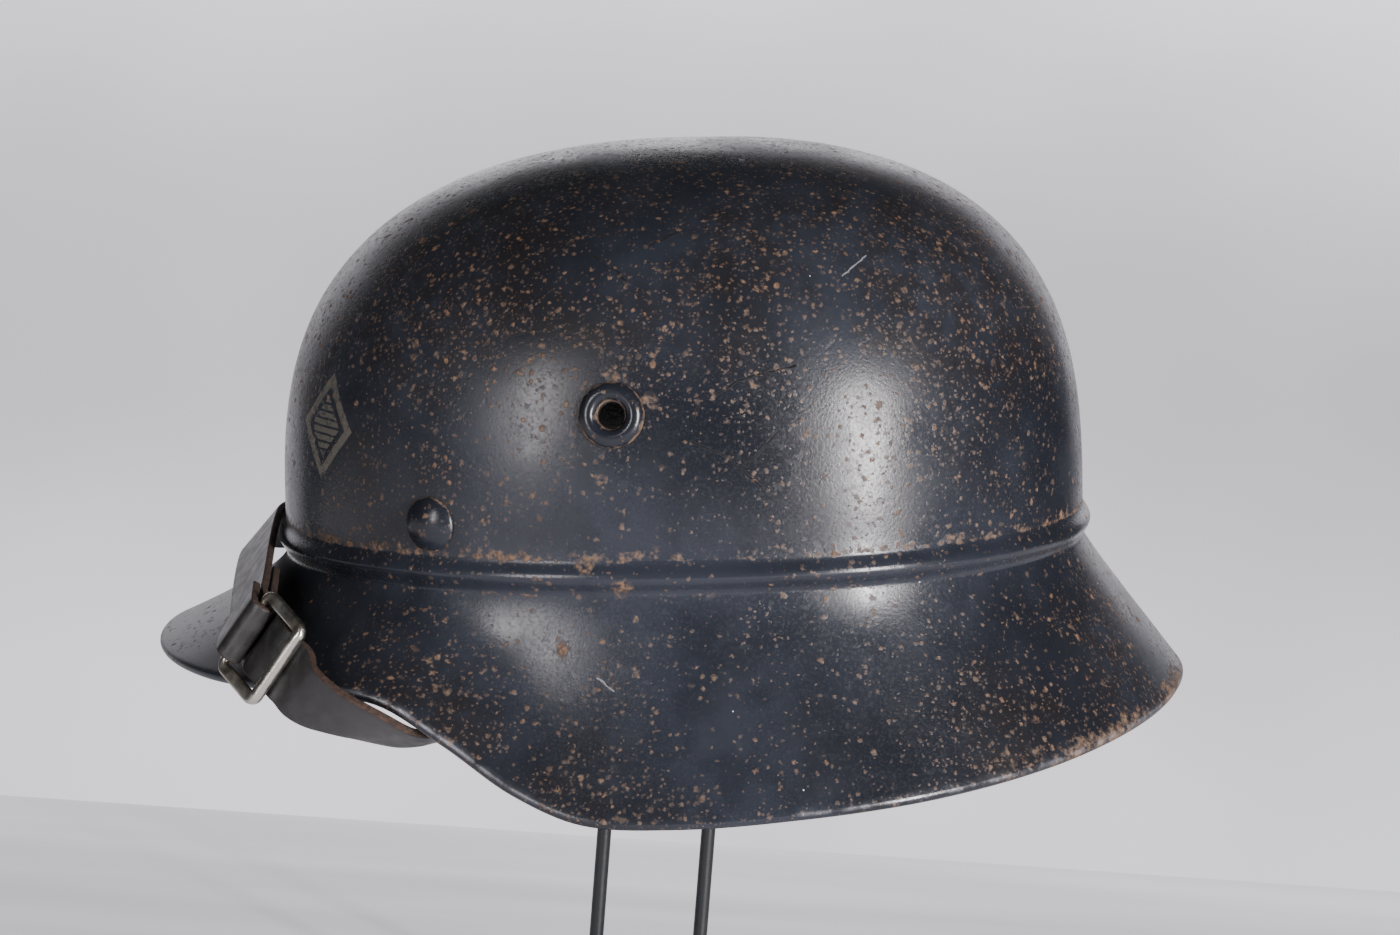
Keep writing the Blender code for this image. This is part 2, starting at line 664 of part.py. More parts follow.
def make_cradle(helmet):
    """A pad that follows the crown's inner face round the apex, flat below."""
    levels = [CRADLE_LEVEL * share for share in (0.3, 0.6, 0.85, 1.0)]
    azimuths = [360 * i / CRADLE_SIDES for i in range(CRADLE_SIDES)]
    depth = SHEET + 2 * GAP
    rings = [[inner_point(a, level, depth) for a in azimuths] for level in levels]
    rings.append([Vector((p.x, p.y, cradle_floor())) for p in rings[-1]])
    points = [point for ring in rings for point in ring]
    apex = shell_point(0, 0)
    points += [apex - Vector((0, 0, depth)), Vector((apex.x, 0, cradle_floor()))]
    top, bottom = len(points) - 2, len(points) - 1
    faces = []
    for ring in range(len(rings) - 1):
        for i in range(CRADLE_SIDES):
            a, b = ring * CRADLE_SIDES + i, ring * CRADLE_SIDES + (i + 1) % CRADLE_SIDES
            faces.append((a, b, b + CRADLE_SIDES, a + CRADLE_SIDES))
    last = (len(rings) - 1) * CRADLE_SIDES
    for i in range(CRADLE_SIDES):
        j = (i + 1) % CRADLE_SIDES
        faces.append((top, j, i))
        faces.append((bottom, last + i, last + j))
    add_object("stand_cradle", points, faces, STAND_PAINT, helmet)


def rod_places(placement):
    """World X of the two rods, whose middle is behind the crown's apex, and the wire's height there."""
    depth = cradle_floor() - GAP - ROD_RADIUS / math.cos(math.radians(HELMET_TILT))
    apex = placement @ Vector((shell_point(0, 0).x, 0, depth))
    fall = -math.tan(math.radians(HELMET_TILT))
    offsets = (ROD_SHIFT - ROD_SPACING / 2, ROD_SHIFT + ROD_SPACING / 2)
    return [(apex.x + offset, apex.z + offset * fall) for offset in offsets]


def make_wire(placement):
    """Two rods bent from one wire, whose top runs level with the helmet under the cradle."""
    (x0, z0), (x1, z1) = rod_places(placement)
    foot = BASE_THICKNESS - BASE_BORE_DEPTH + GAP
    corners = [Vector((x0, 0, z0)), Vector((x1, 0, z1))]
    ends = [Vector((x0, 0, foot)), Vector((x1, 0, foot))]
    path = [ends[0]]
    for i, corner in enumerate(corners):
        before = ends[0] if i == 0 else corners[0]
        after = corners[1] if i == 0 else ends[1]
        into, away = (corner - before).normalized(), (after - corner).normalized()
        reach = ROD_BEND_RADIUS * math.tan(into.angle(away) / 2)
        start, end = corner - into * reach, corner + away * reach
        for t in BEND_SHARES:
            path.append(start * (1 - t) ** 2 + corner * 2 * t * (1 - t) + end * t**2)
    path.append(ends[1])
    points, faces = [], []
    for i, place in enumerate(path):
        run = (path[min(i + 1, len(path) - 1)] - path[max(i - 1, 0)]).normalized()
        across = run.cross(Vector((0, 1, 0))).normalized()
        for k in range(ROD_SIDES):
            angle = 2 * math.pi * k / ROD_SIDES
            side = across * math.cos(angle) + Vector((0, math.sin(angle), 0))
            points.append(place + side * ROD_RADIUS)
    for i in range(len(path) - 1):
        for k in range(ROD_SIDES):
            a, b = i * ROD_SIDES + k, i * ROD_SIDES + (k + 1) % ROD_SIDES
            faces.append((a, b, b + ROD_SIDES, a + ROD_SIDES))
    faces += [tuple(range(ROD_SIDES)), tuple(len(points) - 1 - k for k in range(ROD_SIDES))]
    add_object("stand_wire", points, faces, STAND_PAINT)


def make_base(placement):
    """A round plate with a bore for each rod."""
    profile = [(0, BASE_THICKNESS), (BASE_RADIUS - BASE_CHAMFER, BASE_THICKNESS)]
    profile += [(BASE_RADIUS, BASE_THICKNESS - BASE_CHAMFER), (BASE_RADIUS, 0), (0, 0)]
    base = turned("stand_base", profile, STAND_PAINT, None, Matrix.Identity(4), BASE_SIDES)
    for x, _ in rod_places(placement):
        place = Matrix.Translation((x, 0, BASE_THICKNESS))
        radius = ROD_RADIUS + HOLE_CLEARANCE
        cut(base, cylinder_cutter("rod_cutter", radius, place, None, BASE_BORE_DEPTH))


def build():
    clear_scene()
    placement = helmet_placement()
    helmet = bpy.data.objects.new("helmet", None)
    bpy.context.collection.objects.link(helmet)
    helmet.matrix_world = placement
    make_shell(helmet)
    make_vents(helmet)
    make_rivets(helmet)
    make_strap("strap_right", right_strap_places(), -1, helmet)
    make_strap("strap_left", left_strap_places(), 1, helmet)
    make_buckle(helmet)
    make_cradle(helmet)
    make_wire(placement)
    make_base(placement)


build()
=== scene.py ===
"""The looks of the air raid helmet and its wire stand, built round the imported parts.

Metres, +Z up, the front towards -X and the wearer's left, which the camera sees, towards -Y.
Azimuths are in degrees round the helmet: 0 at the front, 90 at the wearer's left, 180 at the back.
"""
import functools
from math import acos, copysign, cos, pi, radians, sin, tan

import bmesh
import bpy
import numpy as np
from mathutils import Matrix, Vector, noise


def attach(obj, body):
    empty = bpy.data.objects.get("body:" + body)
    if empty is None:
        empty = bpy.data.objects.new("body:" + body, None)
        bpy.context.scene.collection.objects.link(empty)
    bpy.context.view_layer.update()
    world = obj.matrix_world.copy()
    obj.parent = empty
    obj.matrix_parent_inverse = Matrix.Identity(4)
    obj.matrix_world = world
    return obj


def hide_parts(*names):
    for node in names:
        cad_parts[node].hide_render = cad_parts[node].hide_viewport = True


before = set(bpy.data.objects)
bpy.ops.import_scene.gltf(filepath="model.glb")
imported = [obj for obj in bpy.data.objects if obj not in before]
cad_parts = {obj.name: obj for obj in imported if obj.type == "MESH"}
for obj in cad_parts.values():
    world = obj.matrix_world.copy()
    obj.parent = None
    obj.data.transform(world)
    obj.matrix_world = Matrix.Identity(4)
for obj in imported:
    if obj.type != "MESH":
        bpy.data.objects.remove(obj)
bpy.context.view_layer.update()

# Shell, measured from the middle of the bead, with the helmet level
CROWN_FRONT = 0.1135
CROWN_REAR = 0.108
CROWN_HALF_WIDTH = 0.0925
CROWN_HEIGHT = 0.106
SHEET = 0.0012
BEAD_WIDTH = 0.0093
BEAD_RISE = 0.002
PEAK_REACH = 0.035
SKIRT_DROP = 0.0585
RIM_ROLL_RADIUS = 0.00165
DOME_PLAN_POWER = 2.35
DOME_HEIGHT_POWER = 3.1
PLAN_POWER = 2.15
PLAN_TAPER = 0.03
APEX_SHIFT = 0.019
FLARE_START = 0.05

# Vents and rivets
VENT_AZIMUTH = 80.5
VENT_HEIGHT = 0.042
VENT_OUTER_RADIUS = 0.0086
VENT_CREST_RADIUS = 0.0059
VENT_HOLE_RADIUS = 0.0034
VENT_RISE = 0.0022
VENT_WALL = 0.0008
RIVET_AZIMUTH = 54.3
RIVET_HEIGHT = 0.0125
RIVET_HEAD_RADIUS = 0.0072
RIVET_HEAD_RISE = 0.0032
RIVET_EDGE = 0.0003
RIVET_SHANK_RADIUS = 0.002
RIVET_WASHER_RADIUS = 0.0058
RIVET_WASHER = 0.001

# Chin strap and buckle
STRAP_WIDTH = 0.0175
STRAP_THICKNESS = 0.0022
STRAP_SLACK = 0.0009
STRAP_TUCK_LEVEL = 2.2
STRAP_TUCK_SHARE = 1.5
FOLD_BACK = 0.013
TAIL_LENGTH = 0.034
BUCKLE_WIDTH = 0.0265
BUCKLE_LENGTH = 0.019
BUCKLE_FRONT_BAR_RADIUS = 0.0018
BUCKLE_BACK_BAR_RADIUS = 0.0012
BUCKLE_SIDE_BAR_WIDTH = 0.0034
BUCKLE_SIDE_BAR_THICKNESS = 0.0022
BUCKLE_CORNER = 0.002
BUCKLE_AZIMUTH = 38.1
BUCKLE_RISE = 0.0074
BUCKLE_HEADING = 51.7
BUCKLE_LIFT = 20.4
BUCKLE_SLOPE = 31.0

# Stand
SKIRT_CLEARANCE = 0.098
HELMET_TILT = -5.8
ROD_RADIUS = 0.002
ROD_SPACING = 0.0293
ROD_SHIFT = 0.0038
ROD_BEND_RADIUS = 0.007
CRADLE_LEVEL = 0.14
CRADLE_THICKNESS = 0.006
BASE_RADIUS = 0.075
BASE_THICKNESS = 0.006
BASE_CHAMFER = 0.0012
BASE_BORE_DEPTH = 0.0045
GAP = 0.0003
HOLE_CLEARANCE = 0.0003

# The brim round one side. Reach is a share of PEAK_REACH, drop a share of SKIRT_DROP, and
# shoulder the share of that drop at which the wall turns outwards.
BRIM_COLUMNS = ("azimuth", "reach", "drop", "shoulder")
BRIM_SECTIONS = [
    (0, 1.00, 0.455, 0.36), (25, 0.92, 0.470, 0.35), (42, 0.79, 0.465, 0.32),
    (53, 0.65, 0.490, 0.28), (62, 0.59, 0.670, 0.34), (70, 0.58, 0.870, 0.40),
    (78, 0.635, 0.985, 0.36), (88, 0.655, 1.000, 0.31), (100, 0.665, 0.975, 0.26),
    (115, 0.68, 0.935, 0.22), (132, 0.685, 0.875, 0.18), (150, 0.72, 0.800, 0.14),
    (165, 0.74, 0.760, 0.12), (180, 0.78, 0.737, 0.11),
]

# The strap's way round the rim. Out and up are shares of STRAP_WIDTH from the rim at that azimuth;
# lean is the angle of the strap's upper edge from the vertical, towards heading, a compass angle.
# Columns: azimuth, out, up, lean, heading.
UNDER_RIM_STATIONS = [
    (51.0, 0.02, -0.48, 50, 99), (54.0, -0.40, -0.67, 64, 90), (56.5, -0.72, -0.58, 74, 84),
    (59.5, -1.00, -0.25, 84, 70), (61.5, -1.14, 0.35, 88, 45), (60.0, -1.22, 1.00, 90, 10),
]
BUCKLE_SIDE_STATIONS = [(44.5, 0.22, -0.05, 38, 145), (47.7, 0.22, -0.27, 43, 122)]
PEAK_STATIONS = [
    (-48.0, 0.22, -0.29, 43, -122), (-45.5, 0.22, -0.02, 38, -150), (-42.0, -0.10, 0.32, 50, -196),
    (-36.0, -0.83, 0.78, 66, -202), (-24.0, -1.15, 1.17, 49, -188), (-12.0, -1.49, 1.40, 43, -184),
    (0.0, -1.57, 1.43, 41, -180),
]

# The strap's way through the buckle: share of the distance between the bars, and depth as one
BUCKLE_STATIONS = [(0.36, 0.145), (0.60, 0.12), (0.83, 0.16), (1.00, 0.20), (1.20, 0.21)]


# Shape of the shell
def curve(start, end, leaving, arriving, t):
    """The cubic from start to end with these slopes, at a share t of the way."""
    return (
        start * (2 * t**3 - 3 * t**2 + 1) + end * (3 * t**2 - 2 * t**3)
        + leaving * (t**3 - 2 * t**2 + t) + arriving * (t**3 - t**2)
    )


def smooth_table(columns, rows, column, azimuth):
    """A column of a table at an array of azimuths, by a smooth curve level at both ends."""
    at = np.array([row[0] for row in rows], float)
    value = np.array([row[columns.index(column)] for row in rows], float)
    slope = np.zeros(len(rows))
    slope[1:-1] = (value[2:] - value[:-2]) / (at[2:] - at[:-2])
    place = np.clip(np.searchsorted(at, azimuth, side="right") - 1, 0, len(rows) - 2)
    span = at[place + 1] - at[place]
    t = (azimuth - at[place]) / span
    leaving, arriving = span * slope[place], span * slope[place + 1]
    return curve(value[place], value[place + 1], leaving, arriving, t)


def folded(azimuth):
    """Azimuths from the front to either side, so between 0 and 180."""
    return np.degrees(np.arccos(np.clip(np.cos(np.radians(azimuth)), -1, 1)))


def brim_value(column, azimuth):
    return smooth_table(BRIM_COLUMNS, BRIM_SECTIONS, column, folded(azimuth))


def plan_point(azimuth):
    """Points of the crown's egg-shaped plan at the bead."""
    angle = np.radians(azimuth)
    along, across = np.cos(angle), np.sin(angle)
    length = np.where(along > 0, CROWN_FRONT, CROWN_REAR)
    power = 2 / PLAN_POWER
    x = -np.sign(along) * length * np.abs(along) ** power
    y = -np.sign(across) * CROWN_HALF_WIDTH * np.abs(across) ** power
    return np.stack([x, y * (1 - PLAN_TAPER * along), np.zeros_like(x)], axis=-1)


def unit(vectors):
    return vectors / np.maximum(np.linalg.norm(vectors, axis=-1, keepdims=True), 1e-12)


def outward(azimuth):
    step = plan_point(azimuth + 0.5) - plan_point(azimuth - 0.5)
    return unit(np.stack([step[..., 1], -step[..., 0], np.zeros_like(step[..., 0])], axis=-1))


BEAD_ANGLE = acos((BEAD_WIDTH / 2 / CROWN_HEIGHT) ** (DOME_HEIGHT_POWER / 2))


def crown_level(height):
    return acos((height / CROWN_HEIGHT) ** (DOME_HEIGHT_POWER / 2)) / BEAD_ANGLE


def with_height(height):
    flat = np.zeros_like(height)
    return np.stack([flat, flat, height], axis=-1)


def shell_point(azimuth, level):
    """The outer surface: level 0 to 1 is the crown, 1 to 2 the bead, 2 to 3 the flare to the rim."""
    azimuth, level = np.broadcast_arrays(np.asarray(azimuth, float), np.asarray(level, float))
    plan, out = plan_point(azimuth), outward(azimuth)
    half = BEAD_WIDTH / 2
    angle = np.clip(level, 0, 1) * BEAD_ANGLE
    height = CROWN_HEIGHT * np.cos(angle) ** (2 / DOME_HEIGHT_POWER)
    radius = np.sin(angle) ** (2 / DOME_PLAN_POWER)
    shift = APEX_SHIFT * CROWN_HEIGHT * (height / CROWN_HEIGHT) ** 2
    crown = plan * radius[..., None] + np.stack([shift, np.zeros_like(shift), height], axis=-1)
    height = half * (3 - 2 * np.clip(level, 1, 2))
    rise = BEAD_RISE * np.cos(pi * height / BEAD_WIDTH) ** 2
    bead = plan + out * rise[..., None] + with_height(height)
    reach = PEAK_REACH * brim_value("reach", azimuth)
    drop = SKIRT_DROP * brim_value("drop", azimuth)
    turn = half + (drop - half) * brim_value("shoulder", azimuth)
    t = level - 2
    offset = 2 * t * (1 - t) * FLARE_START * reach + t**2 * reach
    height = -(half * (1 - t) ** 2 + 2 * t * (1 - t) * turn + drop * t**2)
    flare = plan + out * offset[..., None] + with_height(height)
    return np.where(level[..., None] <= 1, crown, np.where(level[..., None] <= 2, bead, flare))


def shell_normal(azimuth, level):
    azimuth, level = np.broadcast_arrays(np.asarray(azimuth, float), np.asarray(level, float))
    level = np.clip(level, 0.03, 2.999)
    across = shell_point(azimuth + 0.2, level) - shell_point(azimuth - 0.2, level)
    down = shell_point(azimuth, level + 0.001) - shell_point(azimuth, level - 0.001)
    return unit(np.cross(down, across))


def inner_point(azimuth, level, depth=SHEET):
    return shell_point(azimuth, level) - shell_normal(azimuth, level) * depth


def surface_frame(azimuth, level):
    """A frame on the shell, Z outwards and X level."""
    z = Vector(shell_normal(azimuth, level))
    x = Vector((0, 0, 1)).cross(z).normalized()
    matrix = Matrix((x, z.cross(x), z)).transposed().to_4x4()
    matrix.translation = Vector(shell_point(azimuth, level))
    return matrix


def rim_roll(azimuth):
    """The directions out and down at the rim, and the middle of its rolled edge."""
    edge = shell_point(azimuth, 3.0)
    normal = shell_normal(azimuth, 3.0)
    down = edge - shell_point(azimuth, 2.998)
    down = unit(down - normal * np.sum(down * normal, axis=-1, keepdims=True))
    return normal, down, edge - normal * RIM_ROLL_RADIUS


def helmet_placement():
    """Tilts the helmet, centres it over the origin and lifts its skirt clear of the base."""
    tilt = np.array(Matrix.Rotation(radians(HELMET_TILT), 3, "Y"))
    normal, down, middle = rim_roll(np.arange(0, 360, 1.0))
    rim = [middle + RIM_ROLL_RADIUS * (normal * cos(a) + down * sin(a))
           for a in np.linspace(0, pi, 9)]
    points = np.concatenate(rim) @ tilt.T
    low, high = points.min(axis=0), points.max(axis=0)
    move = Vector((-(low[0] + high[0]) / 2, 0, SKIRT_CLEARANCE - low[2]))
    return Matrix.Translation(move) @ Matrix.Rotation(radians(HELMET_TILT), 4, "Y")


PLACEMENT = helmet_placement()


# Making meshes
def closed_mesh(name, points, faces):
    """A mesh whose faces point out."""
    mesh = bpy.data.meshes.new(name)
    mesh.from_pydata([tuple(p) for p in points], [], faces)
    mesh.update()
    shape = bmesh.new()
    shape.from_mesh(mesh)
    bmesh.ops.recalc_face_normals(shape, faces=shape.faces)
    shape.to_mesh(mesh)
    shape.free()
    return mesh


def add_object(name, data):
    """An object of this data, linked to the scene."""
    made = bpy.data.objects.new(name, data)
    bpy.context.scene.collection.objects.link(made)
    return made


def add_piece(name, points, faces, look, replaced, placed=None, smooth_angle=None):
    """One piece of the helmet or stand, riding on its only body."""
    mesh = closed_mesh(name, points, faces)
    mesh.shade_smooth()
    if smooth_angle is not None:
        mesh.set_sharp_from_angle(angle=radians(smooth_angle))
    if placed is not None:
        mesh.transform(placed)
    mesh.materials.append(look)
    piece = add_object(name, mesh)
    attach(piece, "root")
    for node in replaced:
        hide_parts(node)
    return piece


def add_values(piece, **named):
    """Values that the materials read, one for each point of the piece or one for all."""
    for name, values in named.items():
        attribute = piece.data.attributes.new(name, "FLOAT", "POINT")
        spread = np.full(len(piece.data.vertices), values, np.float32)
        attribute.data.foreach_set("value", spread)


def grid_faces(rows, columns):
    """Quads between rows of points, each row closed on itself."""
    faces = []
    for row in range(rows - 1):
        for i in range(columns):
            j = (i + 1) % columns
            a = row * columns
            faces.append((a + i, a + j, a + columns + j, a + columns + i))
    return faces


def closed_faces(rows, columns):
    """Faces between closed rows of points, whose ends close in two further points."""
    faces = grid_faces(rows, columns)
    top = rows * columns
    for i in range(columns):
        j = (i + 1) % columns
        faces.append((top, j, i))
        faces.append((top + 1, top - columns + i, top - columns + j))
    return faces


def tube_faces(rows, sides):
    """Faces of a tube with flat ends."""
    last = rows * sides - 1
    ends = [tuple(range(sides)), tuple(last - k for k in range(sides))]
    return grid_faces(rows, sides) + ends


def turned(profile, sides):
    """Points and faces of a solid turned round Z from (radius, height) points."""
    points, faces, rows = [], [], []
    for radius, height in profile:
        if radius == 0:
            rows.append([len(points)])
            points.append((0, 0, height))
            continue
        rows.append([len(points) + i for i in range(sides)])
        for i in range(sides):
            angle = 2 * pi * i / sides
            points.append((radius * cos(angle), radius * sin(angle), height))
    closed = profile[0][0] != 0
    pairs = list(zip(rows, rows[1:] + rows[:1])) if closed else list(zip(rows, rows[1:]))
    for upper, lower in pairs:
        for i in range(sides):
            j = (i + 1) % sides
            corners = [upper[i % len(upper)], upper[j % len(upper)]]
            corners += [lower[j % len(lower)], lower[i % len(lower)]]
            faces.append(tuple(dict.fromkeys(corners)))
    return points, faces


# Node helpers
class Nodes:
    """Short calls for the nodes of one material."""

    def __init__(self, name):
        self.material = bpy.data.materials.new(name)
        self.material.use_nodes = True
        self.tree = self.material.node_tree
        self.tree.nodes.clear()
        self.output = self.tree.nodes.new("ShaderNodeOutputMaterial")
        self.place = self.make("ShaderNodeTexCoord").outputs["Object"]

    def make(self, kind, **settings):
        node = self.tree.nodes.new(kind)
        for key, value in settings.items():
            setattr(node, key, value)
        return node

    def feed(self, socket, value):
        if isinstance(value, bpy.types.NodeSocket):
            self.tree.links.new(value, socket)
        elif value is not None:
            socket.default_value = value

    def math(self, operation, a, b=None, clamp=False):
        node = self.make("ShaderNodeMath", operation=operation, use_clamp=clamp)
        for socket, value in zip(node.inputs, (a, b)):
            self.feed(socket, value)
        return node.outputs[0]

    def times(self, a, b):
        return self.math("MULTIPLY", a, b)

    def plus(self, a, b):
        return self.math("ADD", a, b)

    def largest(self, *masks):
        return functools.reduce(lambda a, b: self.math("MAXIMUM", a, b), masks)

    def vector(self, operation, a, b=None, scale=None):
        node = self.make("ShaderNodeVectorMath", operation=operation)
        self.feed(node.inputs[0], a)
        if b is not None:
            self.feed(node.inputs[1], b)
        if scale is not None:
            self.feed(node.inputs["Scale"], scale)
        return node.outputs["Value" if operation in ("DOT_PRODUCT", "DISTANCE") else 0]

    def range(self, value, low, high, to_low=0.0, to_high=1.0, smooth=True):
        kind = "SMOOTHSTEP" if smooth else "LINEAR"
        node = self.make("ShaderNodeMapRange", interpolation_type=kind)
        for key, item in zip((0, 1, 2, 3, 4), (value, low, high, to_low, to_high)):
            self.feed(node.inputs[key], item)
        return node.outputs[0]

    def noise(self, scale, detail=3.0, rough=0.55, where=None, colour=False):
        node = self.make("ShaderNodeTexNoise")
        self.feed(node.inputs["Vector"], where if where is not None else self.place)
        self.feed(node.inputs["Scale"], scale)
        self.feed(node.inputs["Detail"], detail)
        self.feed(node.inputs["Roughness"], rough)
        return node.outputs["Color" if colour else 0]

    def chances(self, colour):
        """Three numbers between 0 and 1 that belong to a cell."""
        node = self.make("ShaderNodeSeparateColor")
        self.feed(node.inputs[0], colour)
        return node.outputs

    def voronoi(self, scale, where=None, feature="F1"):
        node = self.make("ShaderNodeTexVoronoi", feature=feature)
        self.feed(node.inputs["Vector"], where if where is not None else self.place)
        self.feed(node.inputs["Scale"], scale)
        return node.outputs

    def value(self, name):
        return self.make("ShaderNodeAttribute", attribute_name=name).outputs["Fac"]

    def mix(self, share, a, b):
        node = self.make("ShaderNodeMix", data_type="RGBA")
        self.feed(node.inputs[0], share)
        self.feed(node.inputs[6], a if isinstance(a, bpy.types.NodeSocket) else (*a, 1))
        self.feed(node.inputs[7], b if isinstance(b, bpy.types.NodeSocket) else (*b, 1))
        return node.outputs[2]

    def blend(self, share, a, b):
        node = self.make("ShaderNodeMix", data_type="FLOAT")
        self.feed(node.inputs[0], share)
        self.feed(node.inputs[2], a)
        self.feed(node.inputs[3], b)
        return node.outputs[0]

    def moved(self, amount, scale, where=None):
        """The place, pushed about by noise."""
        where = where if where is not None else self.place
        noise_colour = self.noise(scale, 2.0, colour=True, where=where)
        push = self.vector("SUBTRACT", noise_colour, (0.5, 0.5, 0.5))
        return self.vector("ADD", where, self.vector("SCALE", push, scale=amount))

    def bump(self, height, distance):
        node = self.make("ShaderNodeBump")
        self.feed(node.inputs["Strength"], 1.0)
        self.feed(node.inputs["Distance"], distance)
        self.feed(node.inputs["Height"], height)
        return node.outputs[0]

    def surface(self, colour, rough, metal=0.0, normal=None, specular=0.5, glow=None):
        shader = self.make("ShaderNodeBsdfPrincipled")
        self.feed(shader.inputs["Base Color"], colour)
        self.feed(shader.inputs["Roughness"], rough)
        self.feed(shader.inputs["Metallic"], metal)
        self.feed(shader.inputs["Specular IOR Level"], specular)
        if glow is not None:
            self.feed(shader.inputs["Emission Color"], colour)
            self.feed(shader.inputs["Emission Strength"], glow)
        if normal is not None:
            self.feed(shader.inputs["Normal"], normal)
        self.tree.links.new(shader.outputs[0], self.output.inputs["Surface"])
        return self.material


# Paint, rust and wear
PAINT_DARK = (0.0086, 0.0098, 0.0136)
PAINT_LIGHT = (0.0200, 0.0234, 0.0318)
PAINT_BROWNED = (0.0115, 0.0088, 0.0074)
# Painted shade: near black for the hollow inside of the shell and the vents' bores
INSIDE_PAINTED_SHADE = (0.0022, 0.0020, 0.0019)
RUST_DARK = (0.050, 0.030, 0.019)
RUST_PALE = (0.180, 0.116, 0.073)
RUST_ORANGE = (0.205, 0.100, 0.050)
STEEL_WORN = (0.36, 0.37, 0.40)
STEEL_BRIGHT = (0.52, 0.50, 0.45)
STEEL_TARNISHED = (0.36, 0.325, 0.27)
LEATHER_DARK = (0.015, 0.0143, 0.0145)
LEATHER_LIGHT = (0.025, 0.0238, 0.0240)
RAW_DARK = (0.014, 0.008, 0.0055)
RAW_LIGHT = (0.050, 0.026, 0.0155)
STAND_DARK = (0.0045, 0.0062, 0.0085)
STAND_DUSTY = (0.018, 0.014, 0.012)
DUST_PALE = (0.45, 0.45, 0.44)
MARK_DARK = (0.0022, 0.0022, 0.0028)
MARK_PALE = (0.17, 0.175, 0.19)
EMBLEM_PALE = (0.095, 0.090, 0.074)

# Marks on the left side, as lines through points of the level helmet in millimetres: dark cracks
# in the paint, pale scratches, and rust stains round a point with their radius.
CRACKS = [
    [(-0.4, -91.1, 34.9), (9.4, -91.6, 30.6), (17.4, -91.6, 22.9)],
    [(14.0, -91.5, 28.4), (22.4, -89.9, 37.3)],
    [(2.3, -89.9, 44.2), (1.0, -90.3, 41.2)],
    [(26.9, -85.9, 53.4), (12.7, -88.3, 50.2), (6.2, -89.4, 46.7)],
    [(-25.2, -69.3, 81.3), (-21.1, -71.7, 79.6), (-16.2, -75.9, 75.3)],
    [(-9.6, -69.4, 83.5), (-1.8, -66.3, 87.0)],
]
SCRATCHES = [
    [(39.9, -72.2, 74.8), (46.4, -66.1, 79.0)], [(14.3, -34.2, 102.3), (15.4, -34.9, 102.1)],
    [(-26.0, -95.4, -25.1), (-24.0, -96.0, -25.8), (-21.4, -97.4, -28.1)],
]
STAINS = [
    ((-10.9, -89.1, 45.2), 3.0), ((-19.5, -86.7, 51.3), 2.2), ((-28.4, -90.3, 3.3), 3.0),
    ((-18.8, -92.4, -2.3), 3.4), ((-34.7, -91.1, -18.4), 2.6), ((-23.7, -90.1, 25.5), 2.0),
]
CRACK_WIDTH = 0.00042
MARK_DEPTH_SHARE = 0.12
SCRATCH_WIDTH = 0.00026
EMBLEM_CENTRE = (-97.7, -46.6, 35.0)
EMBLEM_HEADING = 155
EMBLEM_HALF_WIDTH = 0.0125
EMBLEM_HALF_HEIGHT = 0.0145


def spots(n, cell, reach, density, seed):
    """Irregular soft spots, one to a cell of this size, on the share of cells that density gives."""
    where = n.vector("ADD", n.moved(cell * 0.75, 1.1 / cell), (seed, seed * 0.7, -seed))
    where = n.moved(cell * 0.35, 4.0 / cell, where)
    out = n.voronoi(1 / cell, where)
    chance = n.chances(out["Color"])
    here = n.math("LESS_THAN", chance[0], density)
    radius = n.range(chance[1], 0.0, 1.0, reach * 0.35, reach, smooth=False)
    inside = n.math("SUBTRACT", radius, out["Distance"])
    depth = n.range(inside, -0.03, reach * 0.5)
    strength = n.range(chance[2], 0.0, 1.0, 0.35, 1.0, smooth=False)
    return n.times(n.times(depth, here), strength), chance[2]


def world_point(spot):
    """A point of the level helmet, given in millimetres, where the tilted helmet has it."""
    return PLACEMENT @ (Vector(spot) / 1000)


def near_line(n, where, line):
    """The distance from the nearest stretch of a line, with little weight on the way in and out."""
    distances = []
    flat = Vector((1, MARK_DEPTH_SHARE, 1))
    where = n.vector("MULTIPLY", where, tuple(flat))
    for start, end in zip(line, line[1:]):
        start, end = world_point(start) * flat, world_point(end) * flat
        run = end - start
        offset = n.vector("SUBTRACT", where, tuple(start))
        ahead = n.vector("DOT_PRODUCT", offset, tuple(run))
        share = n.math("DIVIDE", ahead, run.length_squared, clamp=True)
        foot = n.vector("SCALE", tuple(run), scale=share)
        distances.append(n.vector("DISTANCE", offset, foot))
    return functools.reduce(lambda a, b: n.math("MINIMUM", a, b), distances)


def line_marks(n, where, lines, width):
    return n.largest(*(n.range(near_line(n, where, line), width, width * 0.35) for line in lines))


def stain_marks(n, where):
    masks = []
    for spot, radius in STAINS:
        distance = n.vector("DISTANCE", where, tuple(world_point(spot)))
        masks.append(n.range(distance, radius / 1000, radius / 2500))
    return n.largest(*masks)


def emblem_mark(n):
    """A plain worn lozenge in outline round a smaller one, as a transfer on the paint."""
    heading = radians(EMBLEM_HEADING)
    out = PLACEMENT.to_3x3() @ Vector((cos(heading), -sin(heading), 0))
    level = Vector((0, 0, 1)).cross(out).normalized()
    rise = out.cross(level)
    offset = n.vector("SUBTRACT", n.moved(0.0004, 300.0), tuple(world_point(EMBLEM_CENTRE)))
    across = n.math("ABSOLUTE", n.vector("DOT_PRODUCT", offset, tuple(level / EMBLEM_HALF_WIDTH)))
    up = n.math("ABSOLUTE", n.vector("DOT_PRODUCT", offset, tuple(rise / EMBLEM_HALF_HEIGHT)))
    reach = n.plus(across, up)
    ring = n.times(n.range(reach, 1.0, 0.97), n.range(reach, 0.72, 0.75))
    core = n.range(reach, 0.58, 0.55)
    bars = n.range(n.math("PINGPONG", up, 0.07), 0.018, 0.026)
    mask = n.largest(ring, n.times(core, bars))
    return n.times(mask, n.range(n.noise(420.0, 4.0, 0.7), 0.36, 0.5, 0.15, 0.9))


